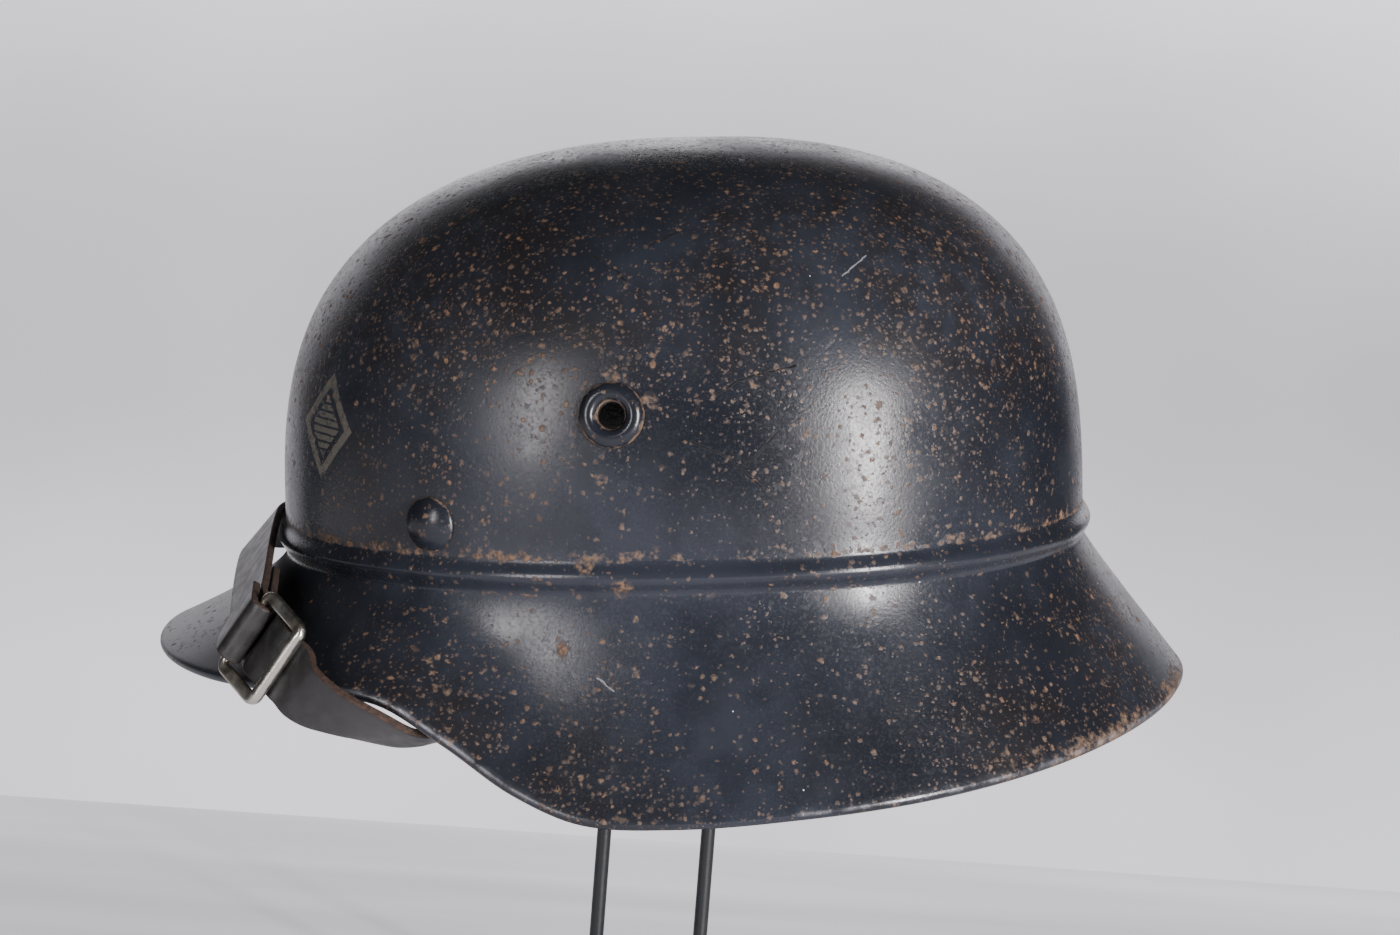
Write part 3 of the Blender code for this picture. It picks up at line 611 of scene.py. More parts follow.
def rust_mask(n, density, crease, marked):
    """Where rust covers the paint, and a number from 0 to 2 for its hue."""
    large, hue_large = spots(n, 0.0060, 0.22, n.times(density, 0.32), 3.1)
    medium, hue_medium = spots(n, 0.0030, 0.34, n.times(density, 0.78), 7.7)
    small, _ = spots(n, 0.0018, 0.42, n.times(density, 0.80), 1.3)
    fine, _ = spots(n, 0.0011, 0.44, n.times(density, 0.52), 5.9)
    specks = n.largest(large, medium, n.times(small, 0.8), n.times(fine, 0.6))
    ragged = n.times(n.math("SUBTRACT", n.noise(480.0, 4.0), 0.5), 2.0)
    broken = n.times(n.math("SUBTRACT", n.noise(90.0, 3.0), 0.5), 1.6)
    seam = n.plus(n.plus(crease, ragged), broken)
    seam = n.times(n.range(seam, 0.45, 0.95), n.range(crease, 0.03, 0.3))
    rusty = n.largest(specks, seam)
    if marked:
        stains = stain_marks(n, n.moved(0.003, 500.0))
        rusty = n.largest(rusty, n.times(stains, n.range(n.noise(600.0, 4.0), 0.38, 0.6)))
    return rusty, n.plus(hue_medium, hue_large)


def sound_paint(n, density):
    """The colour of the paint without marks, darker in clouds and browned where rust is dense."""
    colour = n.mix(n.range(n.noise(13.0, 5.0), 0.36, 0.64), PAINT_DARK, PAINT_LIGHT)
    colour = n.mix(n.times(n.range(n.noise(80.0, 4.0), 0.42, 0.66), 0.45), colour, PAINT_DARK)
    browned = n.times(n.range(density, 0.5, 1.9), n.range(n.noise(150.0, 4.0, 0.65), 0.36, 0.6))
    return n.mix(n.times(browned, 0.5), colour, PAINT_BROWNED)


def dust_flecks(n):
    dust = n.voronoi(260.0)
    fleck = n.math("LESS_THAN", dust["Distance"], 0.06)
    return n.times(fleck, n.math("LESS_THAN", n.chances(dust["Color"])[0], 0.012))


def paint_roughness(n, rust, calm, matted):
    """The sheen of the paint: mottled, glossier on crests, duller where rust is dense."""
    rough = n.range(n.noise(46.0, 5.0, 0.65), 0.30, 0.70, 0.20, 0.30)
    mottle = n.range(n.noise(1100.0, 4.0, 0.65), 0.46, 0.66)
    rough = n.blend(n.times(mottle, 0.38), rough, 0.52)
    rough = n.blend(n.value("gloss"), rough, 0.22)
    rough = n.blend(n.times(matted, 0.35), rough, 0.6)
    rough = n.blend(n.times(n.range(rust, 0.7, 1.8), 0.3), rough, 0.5)
    return n.blend(calm, rough, 0.38)


def paint_relief(n, rusty, calm, matted):
    """Raised rust and fine pits, less of both where the paint is calm."""
    pitted = n.range(n.noise(30.0, 3.0), 0.4, 0.62, 0.35, 1.0)
    pits = n.times(n.noise(1300.0, 3.0, 0.65), pitted)
    relief = n.plus(n.times(rusty, 0.30), n.times(pits, 0.22))
    relief = n.plus(n.plus(relief, n.times(matted, -0.15)), n.times(n.noise(1600.0, 2.0), 0.06))
    return n.bump(n.times(relief, n.range(calm, 0.0, 1.0, 1.0, 0.35)), 0.00024)


def paint_material(name, marked=False):
    """Semi-gloss paint with rust spots as the mesh's rust value asks, worn where its wear value is,
    painted shade where its inside value is.
    """
    n = Nodes(name)
    rust, crease, wear, calm, inside = map(n.value, ("rust", "crease", "wear", "calm", "inside"))
    density = n.times(rust, n.range(n.noise(34.0, 3.0), 0.34, 0.64, 0.35, 1.35))
    rusty, hue = rust_mask(n, density, crease, marked)
    matted, _ = spots(n, 0.0052, 0.30, 0.50, 9.4)
    bare = n.times(wear, n.range(n.noise(240.0, 4.0), 0.36, 0.56))
    tone = n.mix(n.range(n.noise(900.0, 3.0), 0.3, 0.7), RUST_DARK, RUST_PALE)
    tone = n.mix(n.times(n.range(hue, 1.25, 1.7), 0.4), tone, RUST_ORANGE)
    colour = sound_paint(n, density)
    if marked:
        where = n.moved(0.0016, 260.0)
        cracks = line_marks(n, where, CRACKS, CRACK_WIDTH)
        colour = n.mix(emblem_mark(n), colour, EMBLEM_PALE)
        colour = n.mix(n.times(cracks, n.range(n.noise(300.0, 3.0), 0.35, 0.5)), colour, MARK_DARK)
    colour = n.mix(n.times(rusty, 0.92), colour, tone)
    if marked:
        colour = n.mix(line_marks(n, where, SCRATCHES, SCRATCH_WIDTH), colour, MARK_PALE)
    colour = n.mix(dust_flecks(n), colour, DUST_PALE)
    # Painted shade: the inside of the shell and the vents' bores turn near black, so that the hollow
    # reads dark
    colour = n.mix(inside, n.mix(bare, colour, STEEL_WORN), INSIDE_PAINTED_SHADE)
    rough = n.blend(rusty, paint_roughness(n, rust, calm, matted), 0.85)
    rough = n.blend(bare, rough, 0.30)
    if marked:
        rough = n.blend(cracks, rough, 0.95)
    return n.surface(colour, rough, bare, paint_relief(n, rusty, calm, matted), specular=0.36)


def leather_material():
    n = Nodes("black_leather")
    raw = n.value("raw")
    grain = n.voronoi(900.0, n.moved(0.001, 500.0), "DISTANCE_TO_EDGE")["Distance"]
    creases = n.noise(260.0, 4.0)
    fibre = n.noise(700.0, 4.0, 0.7)
    frayed = n.times(n.math("SUBTRACT", fibre, 0.5), 0.5)
    edge = n.range(n.plus(raw, frayed), 0.50, 0.72)
    face = n.mix(n.range(creases, 0.35, 0.7), LEATHER_DARK, LEATHER_LIGHT)
    brown = n.mix(n.range(fibre, 0.35, 0.7), RAW_DARK, RAW_LIGHT)
    colour = n.mix(edge, face, brown)
    rough = n.blend(edge, n.range(creases, 0.3, 0.7, 0.36, 0.50), 0.85)
    relief = n.plus(n.times(grain, 0.6), n.times(creases, 0.6))
    return n.surface(colour, rough, 0.0, n.bump(relief, 0.00008), specular=0.45)


def buckle_material():
    n = Nodes("tarnished_steel")
    tarnish = n.range(n.noise(160.0, 4.0), 0.40, 0.62)
    colour = n.mix(n.times(tarnish, n.value("tarnish")), STEEL_BRIGHT, STEEL_TARNISHED)
    rough = n.range(n.noise(300.0, 3.0), 0.3, 0.7, 0.24, 0.38)
    return n.surface(colour, rough, 1.0, n.bump(n.noise(700.0, 3.0), 0.00003))


def stand_material():
    n = Nodes("stand_paint")
    streak = n.range(n.noise(60.0, 3.0), 0.55, 0.75)
    colour = n.mix(streak, STAND_DARK, STAND_DUSTY)
    rough = n.range(n.noise(300.0, 3.0), 0.3, 0.7, 0.40, 0.52)
    return n.surface(colour, rough, 0.0, n.bump(n.noise(600.0), 0.00004))


PAINT = paint_material("blue_grey_paint", marked=True)
VENT = paint_material("vent_paint")
LEATHER = leather_material()
STEEL = buckle_material()
STAND = stand_material()

# Shell
SHELL_COLUMNS = 360
CROWN_ROWS = 96
BEAD_ROWS = 26
FLARE_ROWS = 60
ROLL_ROWS = 16
ROLL_LEVEL_STEP = 0.008
INNER_ROWS = 44
DRILL_SIDES = 48
CREASE_BAND = 0.0007


def shell_lumps(points):
    """How far each point of the pressed sheet stands out of its true form."""
    return np.array([
        0.00022 * noise.noise(Vector(p) * 22.0) + 0.00009 * noise.noise(Vector(p) * 70.0)
        for p in points
    ])


def shell_values(azimuth, level, points):
    """What the paint has to know at each of the shell's points."""
    around = folded(azimuth)
    height = points[:, 2]
    crown = np.clip(height / CROWN_HEIGHT, 0, 1)
    upper = np.exp(-((crown - 0.72) / 0.24) ** 2)
    front = np.exp(-((around - 42) / 22.0) ** 2) * np.exp(-((crown - 0.42) / 0.3) ** 2)
    rear = np.exp(-((around - 140) / 30.0) ** 2) * 0.45
    rust = 0.42 + 1.35 * upper + 1.2 * front + rear * (crown > 0)
    skirt = np.clip(level - 2, 0, 1)
    low = np.exp(-((around - 62) / 16.0) ** 2) + np.exp(-((around - 150) / 30.0) ** 2)
    rust = np.where(level > 2, 0.28 + 1.15 * skirt * low + 0.4 * skirt, rust)
    top = np.exp(-(np.abs(height - BEAD_WIDTH / 2) / CREASE_BAND) ** 2)
    bottom = np.exp(-(np.abs(height + BEAD_WIDTH / 2) / CREASE_BAND) ** 2)
    along = 0.65 + 0.35 * np.clip(np.abs(around - 95) / 60, 0, 1)
    crease = np.where(level < 2.4, top * 0.72 * along + bottom * 0.42 * along, 0)
    near_rim = np.clip((level - 2.90) / 0.10, 0, 1) * (level < 3.1)
    crease = np.maximum(crease, near_rim * np.clip((around - 112) / 40, 0, 0.75))
    edge = np.exp(-((level - 3.010) / 0.007) ** 2)
    wear = edge * np.clip(0.5 * np.exp(-((around - 61) / 12.0) ** 2) + 0.3 * (around > 100), 0, 1)
    crest = (level > 1) * (level < 2) * np.exp(-((height - BEAD_WIDTH / 8) / (BEAD_WIDTH / 4)) ** 2)
    gloss = np.maximum(0.9 * crest, 0.7 * (level > 3))
    calm = (level > 2) * np.clip((52 - around) / 8, 0, 1)
    return {"rust": rust, "crease": crease, "wear": wear, "gloss": gloss, "calm": calm}


def make_shell():
    azimuth = np.arange(SHELL_COLUMNS) * 360.0 / SHELL_COLUMNS
    crown = np.linspace(0, 1, CROWN_ROWS + 1)[1:] ** 0.92
    levels = list(crown) + list(1 + np.linspace(0, 1, BEAD_ROWS + 1)[1:])
    levels += list(2 + np.linspace(0, 1, FLARE_ROWS + 1)[1:] ** 1.15)
    rows = [(shell_point(azimuth, level), level) for level in levels]
    normal, down, middle = rim_roll(azimuth)
    closing = 2 * pi - acos((RIM_ROLL_RADIUS - SHEET) / RIM_ROLL_RADIUS)
    for i in range(1, ROLL_ROWS + 1):
        angle = closing * i / ROLL_ROWS
        turn = RIM_ROLL_RADIUS * (normal * cos(angle) + down * sin(angle))
        rows.append((middle + turn, 3 + ROLL_LEVEL_STEP * i))
    inner = [levels[i] for i in np.linspace(0, len(levels) - 4, INNER_ROWS).astype(int)]
    rows += [(inner_point(azimuth, level), level) for level in reversed(inner)]
    points = np.concatenate([row for row, _ in rows])
    level = np.repeat([level for _, level in rows], SHELL_COLUMNS)
    around = np.tile(azimuth, len(rows))
    lumps = shell_lumps(points)
    points = points + shell_normal(around, level) * lumps[:, None]
    values = shell_values(around, level, points)
    outer_count = (len(levels) + ROLL_ROWS) * SHELL_COLUMNS
    # The inner wall's points, which the paint turns near black as painted shade
    inside = np.append(np.arange(len(points)) >= outer_count, [0, 1])
    apex = shell_point(0.0, 0.0)
    points = np.vstack([points, apex, apex - np.array([0, 0, SHEET])])
    faces = closed_faces(len(rows), SHELL_COLUMNS)
    shell = add_piece("shell_skin", points, faces, PAINT, ["shell"], PLACEMENT)
    values = {name: np.append(each, [each[0], 0]) for name, each in values.items()}
    add_values(shell, inside=inside, **values)
    drill(shell)


def vent_place(side):
    return PLACEMENT @ surface_frame(side * VENT_AZIMUTH, crown_level(VENT_HEIGHT))


def drill(shell):
    """Cuts the vents' holes through the sheet."""
    for side in (1, -1):
        radius = VENT_HOLE_RADIUS + VENT_WALL + HOLE_CLEARANCE
        reach = 4 * RIVET_HEAD_RISE
        profile = [(0, reach), (radius, reach), (radius, -reach), (0, -reach)]
        points, faces = turned(profile, DRILL_SIDES)
        cutter = add_object("vent_drill", closed_mesh("vent_drill", points, faces))
        cutter.matrix_world = vent_place(side)
        bpy.context.view_layer.update()
        boolean = shell.modifiers.new("vent", "BOOLEAN")
        boolean.operation = "DIFFERENCE"
        boolean.solver = "EXACT"
        boolean.object = cutter
        graph = bpy.context.evaluated_depsgraph_get()
        cut = bpy.data.meshes.new_from_object(shell.evaluated_get(graph))
        shell.modifiers.clear()
        shell.data = cut
        bpy.data.objects.remove(cutter)


# Vents and rivets
VENT_SIDES = 72
VENT_STEPS = 16
VENT_FOOT = 0.0003
VENT_RUST_FROM = 0.0078
VENT_RUST_WITHIN = 0.0042
RIVET_SIDES = 64
RIVET_STEPS = 24
RIVET_FOOT = 0.0004
RIVET_RUST_FROM = 0.0066


def make_vents():
    inside = -SHEET - GAP - VENT_CREST_RADIUS**2 / CROWN_HALF_WIDTH
    angles = [pi / 2 * step / VENT_STEPS for step in range(1, VENT_STEPS + 1)]
    ring = [(VENT_OUTER_RADIUS, -VENT_FOOT)]
    for angle in angles:
        inward = (VENT_OUTER_RADIUS - VENT_CREST_RADIUS) * (1 - cos(angle)) ** 0.9
        ring.append((VENT_OUTER_RADIUS - inward, VENT_RISE * sin(angle)))
    for angle in angles:
        inward = (VENT_CREST_RADIUS - VENT_HOLE_RADIUS) * sin(angle)
        height = VENT_RISE * (1 - 1.5 * (1 - cos(angle)))
        ring.append((VENT_CREST_RADIUS - inward, height))
    ring += [(VENT_HOLE_RADIUS, inside - VENT_WALL), (VENT_CREST_RADIUS, inside - VENT_WALL)]
    ring += [(VENT_CREST_RADIUS, inside), (VENT_HOLE_RADIUS + VENT_WALL, inside)]
    ring += [(VENT_HOLE_RADIUS + VENT_WALL, -VENT_FOOT)]
    radii, heights = np.repeat(ring, VENT_SIDES, axis=0).T
    foot = np.clip((radii - VENT_RUST_FROM) / 0.0007, 0, 1) * (heights < 0.0013)
    lip = np.clip((VENT_RUST_WITHIN - radii) / 0.0004, 0, 1) * (heights > -0.0015)
    # The vent's bore below the sheet, which the paint turns near black as painted shade
    shaded_bore = (radii < VENT_RUST_WITHIN) & (heights < 0)
    points, faces = turned(ring, VENT_SIDES)
    for name, side in (("left", 1), ("right", -1)):
        vent = add_piece(f"vent_ring_{name}", points, faces, VENT, [f"vent_{name}"],
                         vent_place(side), 50)
        add_values(vent, crease=np.maximum(foot, lip) * 0.95, rust=0.35, gloss=0.7, inside=shaded_bore)


def make_rivets():
    head = [(0, RIVET_HEAD_RISE)]
    for step in range(1, RIVET_STEPS + 1):
        share = sin(pi / 2 * step / RIVET_STEPS)
        dome = (RIVET_HEAD_RISE - RIVET_EDGE) * max(0.0, 1 - share**2.1) ** 0.8
        head.append((RIVET_HEAD_RADIUS * share, RIVET_EDGE + dome))
    packing = strap_seat_depth() + STRAP_THICKNESS / 2 + STRAP_SLACK + GAP
    foot = [(RIVET_HEAD_RADIUS, -RIVET_FOOT), (RIVET_SHANK_RADIUS, -RIVET_FOOT)]
    foot += [(RIVET_SHANK_RADIUS, -packing), (RIVET_WASHER_RADIUS, -packing)]
    foot += [(RIVET_WASHER_RADIUS, -packing - RIVET_WASHER), (0, -packing - RIVET_WASHER)]
    points, faces = turned(head + foot, RIVET_SIDES)
    x, y, heights = np.array(points).T
    radii = np.sqrt(x**2 + y**2)
    edge = np.clip((radii - RIVET_RUST_FROM) / 0.0005, 0, 1) * (heights < 0.0009)
    for name, azimuth in (("left", RIVET_AZIMUTH), ("right", -RIVET_AZIMUTH)):
        place = PLACEMENT @ surface_frame(azimuth, crown_level(RIVET_HEIGHT))
        rivet = add_piece(f"rivet_head_{name}", points, faces, VENT,
                          [f"rivet_{name}"], place, 50)
        add_values(rivet, crease=edge * 0.8, rust=0.25, gloss=0.4)


# Strap and buckle
def compass(heading):
    angle = radians(heading)
    return Vector((-cos(angle), -sin(angle), 0))


def strap_seat_depth():
    return SHEET + STRAP_SLACK + STRAP_THICKNESS / 2


def bar_spacing():
    return BUCKLE_LENGTH - BUCKLE_FRONT_BAR_RADIUS - BUCKLE_BACK_BAR_RADIUS


def bar_offsets():
    back = -BUCKLE_LENGTH / 2 + BUCKLE_BACK_BAR_RADIUS
    return back, back + bar_spacing()


def buckle_frame():
    """Axes of the buckle: X along the strap to the lug, Y up its width, Z out of its face."""
    lift, slope = radians(BUCKLE_LIFT), radians(BUCKLE_SLOPE)
    face = compass(BUCKLE_HEADING) * cos(lift) + Vector((0, 0, sin(lift)))
    level = Vector((0, 0, 1)).cross(face).normalized()
    rise = face.cross(level)
    along = level * cos(slope) - rise * sin(slope)
    touch = max(Vector(shell_point(float(a), 3.0)).dot(face) for a in range(20, 71))
    stand_off = touch + STRAP_SLACK + STRAP_THICKNESS + GAP + BUCKLE_FRONT_BAR_RADIUS
    anchor = Vector(shell_point(BUCKLE_AZIMUTH, 3.0))
    matrix = Matrix((along, face.cross(along), face)).transposed().to_4x4()
    matrix.translation = anchor + face * (stand_off - anchor.dot(face)) + rise * BUCKLE_RISE
    return matrix


def station_place(row):
    """Middle of the strap and the direction of its upper edge at a station beside the rim."""
    azimuth, out, up, lean, heading = row
    away = Vector(outward(np.float64(azimuth))) * out * STRAP_WIDTH
    middle = Vector(shell_point(azimuth, 3.0)) + away + Vector((0, 0, up * STRAP_WIDTH))
    lean = radians(lean)
    return middle, compass(heading) * sin(lean) + Vector((0, 0, cos(lean)))


def mirrored(row):
    return (-row[0], *row[1:4], -row[4])


def wall_stations(side):
    """The strap against the inner wall, from below the bead up past its rivet; side is 1 or -1."""
    azimuth = side * RIVET_AZIMUTH
    out = Vector(outward(np.float64(azimuth)))
    edge = side * out.cross(Vector((0, 0, 1)))
    tuck = out * STRAP_TUCK_SHARE * strap_seat_depth()
    places = [(Vector(shell_point(azimuth, STRAP_TUCK_LEVEL)) - tuck, edge)]
    for height in (BEAD_WIDTH, RIVET_HEIGHT, RIVET_HEIGHT + RIVET_WASHER_RADIUS + STRAP_WIDTH / 4):
        spot = surface_frame(azimuth, crown_level(height))
        places.append((spot.translation - spot.col[2].xyz * strap_seat_depth(), edge))
    return places


def fold_layers():
    matrix = buckle_frame()
    bar = matrix @ Vector((bar_offsets()[0], 0, 0))
    front, _ = station_place(PEAK_STATIONS[-1])
    edge = matrix.col[1].xyz
    run = front - bar
    run = (run - edge * run.dot(edge)).normalized()
    return bar, run, edge, edge.cross(run)


def roll_radius():
    return BUCKLE_BACK_BAR_RADIUS + GAP + STRAP_THICKNESS / 2


def under_fold(distance):
    share = min(distance / FOLD_BACK, 1.0)
    blend = share * share * (3 - 2 * share)
    return -roll_radius() + (2 * roll_radius() - STRAP_THICKNESS - GAP) * blend


def right_strap_places():
    """From the right rivet under the rim, over the peak, round the back bar and back on itself."""
    places = list(reversed(wall_stations(-1)))
    places += [station_place(mirrored(row)) for row in reversed(UNDER_RIM_STATIONS)]
    places += [station_place(row) for row in PEAK_STATIONS]
    bar, run, edge, face = fold_layers()
    for share in (1.3, 0.9, 0.5, 0.2):
        distance = share * FOLD_BACK
        places.append((bar + run * distance + face * under_fold(distance), edge))
    for i in range(7):
        angle = pi * (1 - i / 6)
        places.append((bar + roll_radius() * (face * cos(angle) - run * sin(angle)), edge))
    for share in (0.5, 1.0):
        places.append((bar + run * FOLD_BACK * share + face * roll_radius(), edge))
    return places


def left_strap_places():
    """From its tail under the other strap, through the buckle, round the rim to the left rivet."""
    bar, run, edge, face = fold_layers()
    matrix = buckle_frame()
    places = []
    for distance in (TAIL_LENGTH, TAIL_LENGTH * 0.7, FOLD_BACK, FOLD_BACK * 0.5, 0):
        height = under_fold(distance) - STRAP_THICKNESS - 2 * GAP
        places.append((bar + run * distance + face * height, edge))
    for along, depth in BUCKLE_STATIONS:
        x = bar_offsets()[0] + bar_spacing() * along
        places.append((matrix @ Vector((x, 0, -bar_spacing() * depth)), edge))
    places += [station_place(row) for row in BUCKLE_SIDE_STATIONS + UNDER_RIM_STATIONS]
    return places + wall_stations(1)


def curve_value(values, i, t):
    """A cubic through values i and i + 1, its slopes taken from their neighbours."""
    start, end = values[i], values[i + 1]
    before = values[i - 1] if i else start * 2 - end
    after = values[i + 2] if i + 2 < len(values) else end * 2 - start
    gap = (end - start).length or 1.0
    leaving = (end - before) * (gap / (gap + (start - before).length))
    arriving = (after - start) * (gap / (gap + (after - end).length))
    return curve(start, end, leaving, arriving, t)


def run_at(path, i):
    """The direction of a path at one of its points."""
    return (path[min(i + 1, len(path) - 1)] - path[max(i - 1, 0)]).normalized()


STRAP_STEP = 0.0009
STRAP_ROUNDING = 0.0006
RAW_BAND = 1.3 * STRAP_ROUNDING


def strap_section():
    """Points round the strap's section, with its edges rounded, and which are on the raw edge."""
    half_width, half = STRAP_WIDTH / 2, STRAP_THICKNESS / 2
    points = []
    for corner, (sx, sy) in enumerate(((1, 1), (-1, 1), (-1, -1), (1, -1))):
        for k in range(5):
            angle = radians(90 * corner + 22.5 * k)
            x = sx * (half_width - STRAP_ROUNDING) + STRAP_ROUNDING * cos(angle)
            y = sy * (half - STRAP_ROUNDING) + STRAP_ROUNDING * sin(angle)
            points.append((x, y))
        if corner % 2 == 0:
            span = np.linspace(half_width - STRAP_ROUNDING, -half_width + STRAP_ROUNDING, 10)[1:-1]
            points += [(sx * x, sy * half) for x in span]
    raw = [(abs(x) - half_width + RAW_BAND) / STRAP_ROUNDING for x, _ in points]
    return points, np.clip(raw, 0, 1)


def make_strap(name, places, node):
    middles, edges = zip(*places)
    way, way_edges = [], []
    for i in range(len(places) - 1):
        steps = max(2, round((middles[i + 1] - middles[i]).length / STRAP_STEP))
        way += [curve_value(middles, i, k / steps) for k in range(steps)]
        way_edges += [curve_value(edges, i, k / steps) for k in range(steps)]
    way.append(middles[-1])
    way_edges.append(edges[-1])
    section, raw = strap_section()
    points = []
    for i, (middle, edge) in enumerate(zip(way, way_edges)):
        run = run_at(way, i)
        edge = (edge - run * edge.dot(run)).normalized()
        across = run.cross(edge)
        points += [middle + edge * x + across * y for x, y in section]
    raws = np.tile(raw, (len(way), 1))
    raws[[0, -1]] = 1
    faces = tube_faces(len(way), len(section))
    strap = add_piece(name, points, faces, LEATHER, [node], PLACEMENT, 60)
    add_values(strap, raw=raws.ravel())


BUCKLE_SIDES = 24
BUCKLE_STEPS = 8


def between(start, end, share):
    return tuple(a + (b - a) * share for a, b in zip(start, end))


def make_buckle():
    """A rounded rectangle of wire, thick and round in front, flat at the sides, thin at the back."""
    back, front = bar_offsets()
    half = BUCKLE_WIDTH / 2 - BUCKLE_SIDE_BAR_WIDTH / 2
    inset = BUCKLE_CORNER
    bar = (BUCKLE_FRONT_BAR_RADIUS, BUCKLE_FRONT_BAR_RADIUS, 2.0)
    side = (BUCKLE_SIDE_BAR_WIDTH / 2, BUCKLE_SIDE_BAR_THICKNESS / 2, 4.0)
    pin = (BUCKLE_BACK_BAR_RADIUS, BUCKLE_BACK_BAR_RADIUS, 2.0)
    shares = [k / BUCKLE_STEPS for k in range(BUCKLE_STEPS + 1)]
    turn = [(s, 1 - cos(pi / 2 * s), 1 - sin(pi / 2 * s)) for s in shares[1:-1]]
    path = [(front, (half - inset) * s, bar) for s in shares]
    path += [(front - inset * near, half - inset * far, between(bar, side, s)) for s, near, far in turn]
    path += [(front - inset + (back - front + 2 * inset) * s, half, side) for s in shares]
    path += [(back + inset * far, half - inset * near, between(side, pin, s)) for s, near, far in turn]
    path += [(back, (half - inset) * (1 - s), pin) for s in shares]
    path += [(x, -y, size) for x, y, size in reversed(path[1:-1])]
    points, tarnish = [], []
    for i, (x, y, (wide, thick, power)) in enumerate(path):
        before, after = path[i - 1], path[(i + 1) % len(path)]
        run = Vector((after[0] - before[0], after[1] - before[1], 0)).normalized()
        across = Vector((run.y, -run.x, 0))
        for k in range(BUCKLE_SIDES):
            angle = 2 * pi * k / BUCKLE_SIDES
            c, s = cos(angle), sin(angle)
            u = copysign(abs(c) ** (2 / power), c) * wide
            v = copysign(abs(s) ** (2 / power), s) * thick
            points.append(Vector((x, y, 0)) + across * u + Vector((0, 0, v)))
            tarnish.append(x <= front - 0.3 * inset)
    ring = grid_faces(len(path) + 1, BUCKLE_SIDES)
    faces = [tuple(corner % len(points) for corner in face) for face in ring]
    place = PLACEMENT @ buckle_frame()
    buckle = add_piece("buckle_frame", points, faces, STEEL, ["buckle"], place, 50)
    add_values(buckle, tarnish=tarnish)


# Stand
ROD_SIDES = 28
ROD_STEPS = 10
BEND_STEPS = 12
FOOT_SIDES = 160
PAD_COLUMNS = 96
PAD_ROWS = 13


def cradle_floor():
    lowest = inner_point(np.arange(0, 360, 15.0), CRADLE_LEVEL, SHEET + GAP)[:, 2].min()
    return lowest - CRADLE_THICKNESS


def bend_points(before, corner, after):
    """A rounded corner of the wire."""
    into, away = (corner - before).normalized(), (after - corner).normalized()
    reach = ROD_BEND_RADIUS * tan(into.angle(away) / 2)
    start, end = corner - into * reach, corner + away * reach
    shares = [k / BEND_STEPS for k in range(BEND_STEPS + 1)]
    return [start * (1 - t) ** 2 + corner * 2 * t * (1 - t) + end * t**2 for t in shares]


def make_rods():
    """Both rods and the top between them, one wire bent under the pad."""
    depth = cradle_floor() - GAP - ROD_RADIUS / cos(radians(HELMET_TILT))
    apex = PLACEMENT @ Vector((shell_point(0.0, 0.0)[0], 0, depth))
    fall = -tan(radians(HELMET_TILT))
    offsets = (ROD_SHIFT - ROD_SPACING / 2, ROD_SHIFT + ROD_SPACING / 2)
    left, right = (Vector((apex.x + offset, 0, apex.z + offset * fall)) for offset in offsets)
    foot = BASE_THICKNESS - BASE_BORE_DEPTH + GAP
    left_end, right_end = Vector((left.x, 0, foot)), Vector((right.x, 0, foot))
    below = Vector((0, 0, ROD_BEND_RADIUS * 2))
    shares = [k / ROD_STEPS for k in range(ROD_STEPS + 1)]
    path = [left_end.lerp(left - below, share) for share in shares]
    path += bend_points(left_end, left, right) + bend_points(left, right, right_end)
    path += [(right - below).lerp(right_end, share) for share in shares]
    points = []
    for i, place in enumerate(path):
        across = run_at(path, i).cross(Vector((0, 1, 0))).normalized()
        for k in range(ROD_SIDES):
            angle = 2 * pi * k / ROD_SIDES
            out = across * cos(angle) + Vector((0, sin(angle), 0))
            points.append(place + out * ROD_RADIUS)
    faces = tube_faces(len(path), ROD_SIDES)
    add_piece("stand_rods", points, faces, STAND, ["stand_wire"], None, 50)


def make_foot():
    rounded = [(0, BASE_THICKNESS), (BASE_RADIUS - 2 * BASE_CHAMFER, BASE_THICKNESS)]
    for k in range(9):
        angle = pi / 2 * k / 8
        radius = BASE_RADIUS - BASE_CHAMFER * (1 - sin(angle))
        rounded.append((radius, BASE_THICKNESS - BASE_CHAMFER * (1 - cos(angle))))
    rounded += [(BASE_RADIUS, 0), (0, 0)]
    points, faces = turned(rounded, FOOT_SIDES)
    add_piece("stand_foot", points, faces, STAND, ["stand_base"], None, 40)


def make_pad():
    azimuth = np.arange(PAD_COLUMNS) * 360.0 / PAD_COLUMNS
    levels = np.linspace(0, CRADLE_LEVEL, PAD_ROWS + 1)[1:]
    rows = [inner_point(azimuth, level, SHEET + 2 * GAP) for level in levels]
    underside = rows[-1].copy()
    underside[:, 2] = cradle_floor()
    rows.append(underside)
    apex = shell_point(0.0, 0.0)
    top, bottom = apex - (0, 0, SHEET + 2 * GAP), (apex[0], 0, cradle_floor())
    points = np.vstack([*rows, top, bottom])
    faces = closed_faces(len(rows), PAD_COLUMNS)
    add_piece("stand_pad", points, faces, STAND, ["stand_cradle"], PLACEMENT, 40)


make_shell()
make_vents()
make_rivets()
make_strap("chin_strap_right", right_strap_places(), "strap_right")
make_strap("chin_strap_left", left_strap_places(), "strap_left")
make_buckle()
make_rods()
make_foot()
make_pad()

# Camera
CAMERA_LENS = 102.86
CAMERA_DISTANCE = 1.117
CAMERA_ELEVATION = 8.7
CAMERA_ROLL = -1.37
IMAGE_WIDTH = 1400
IMAGE_HEIGHT = 935
ORIGIN_PIXEL = (694.2, 518.4)
FOCAL_PIXELS = 4000


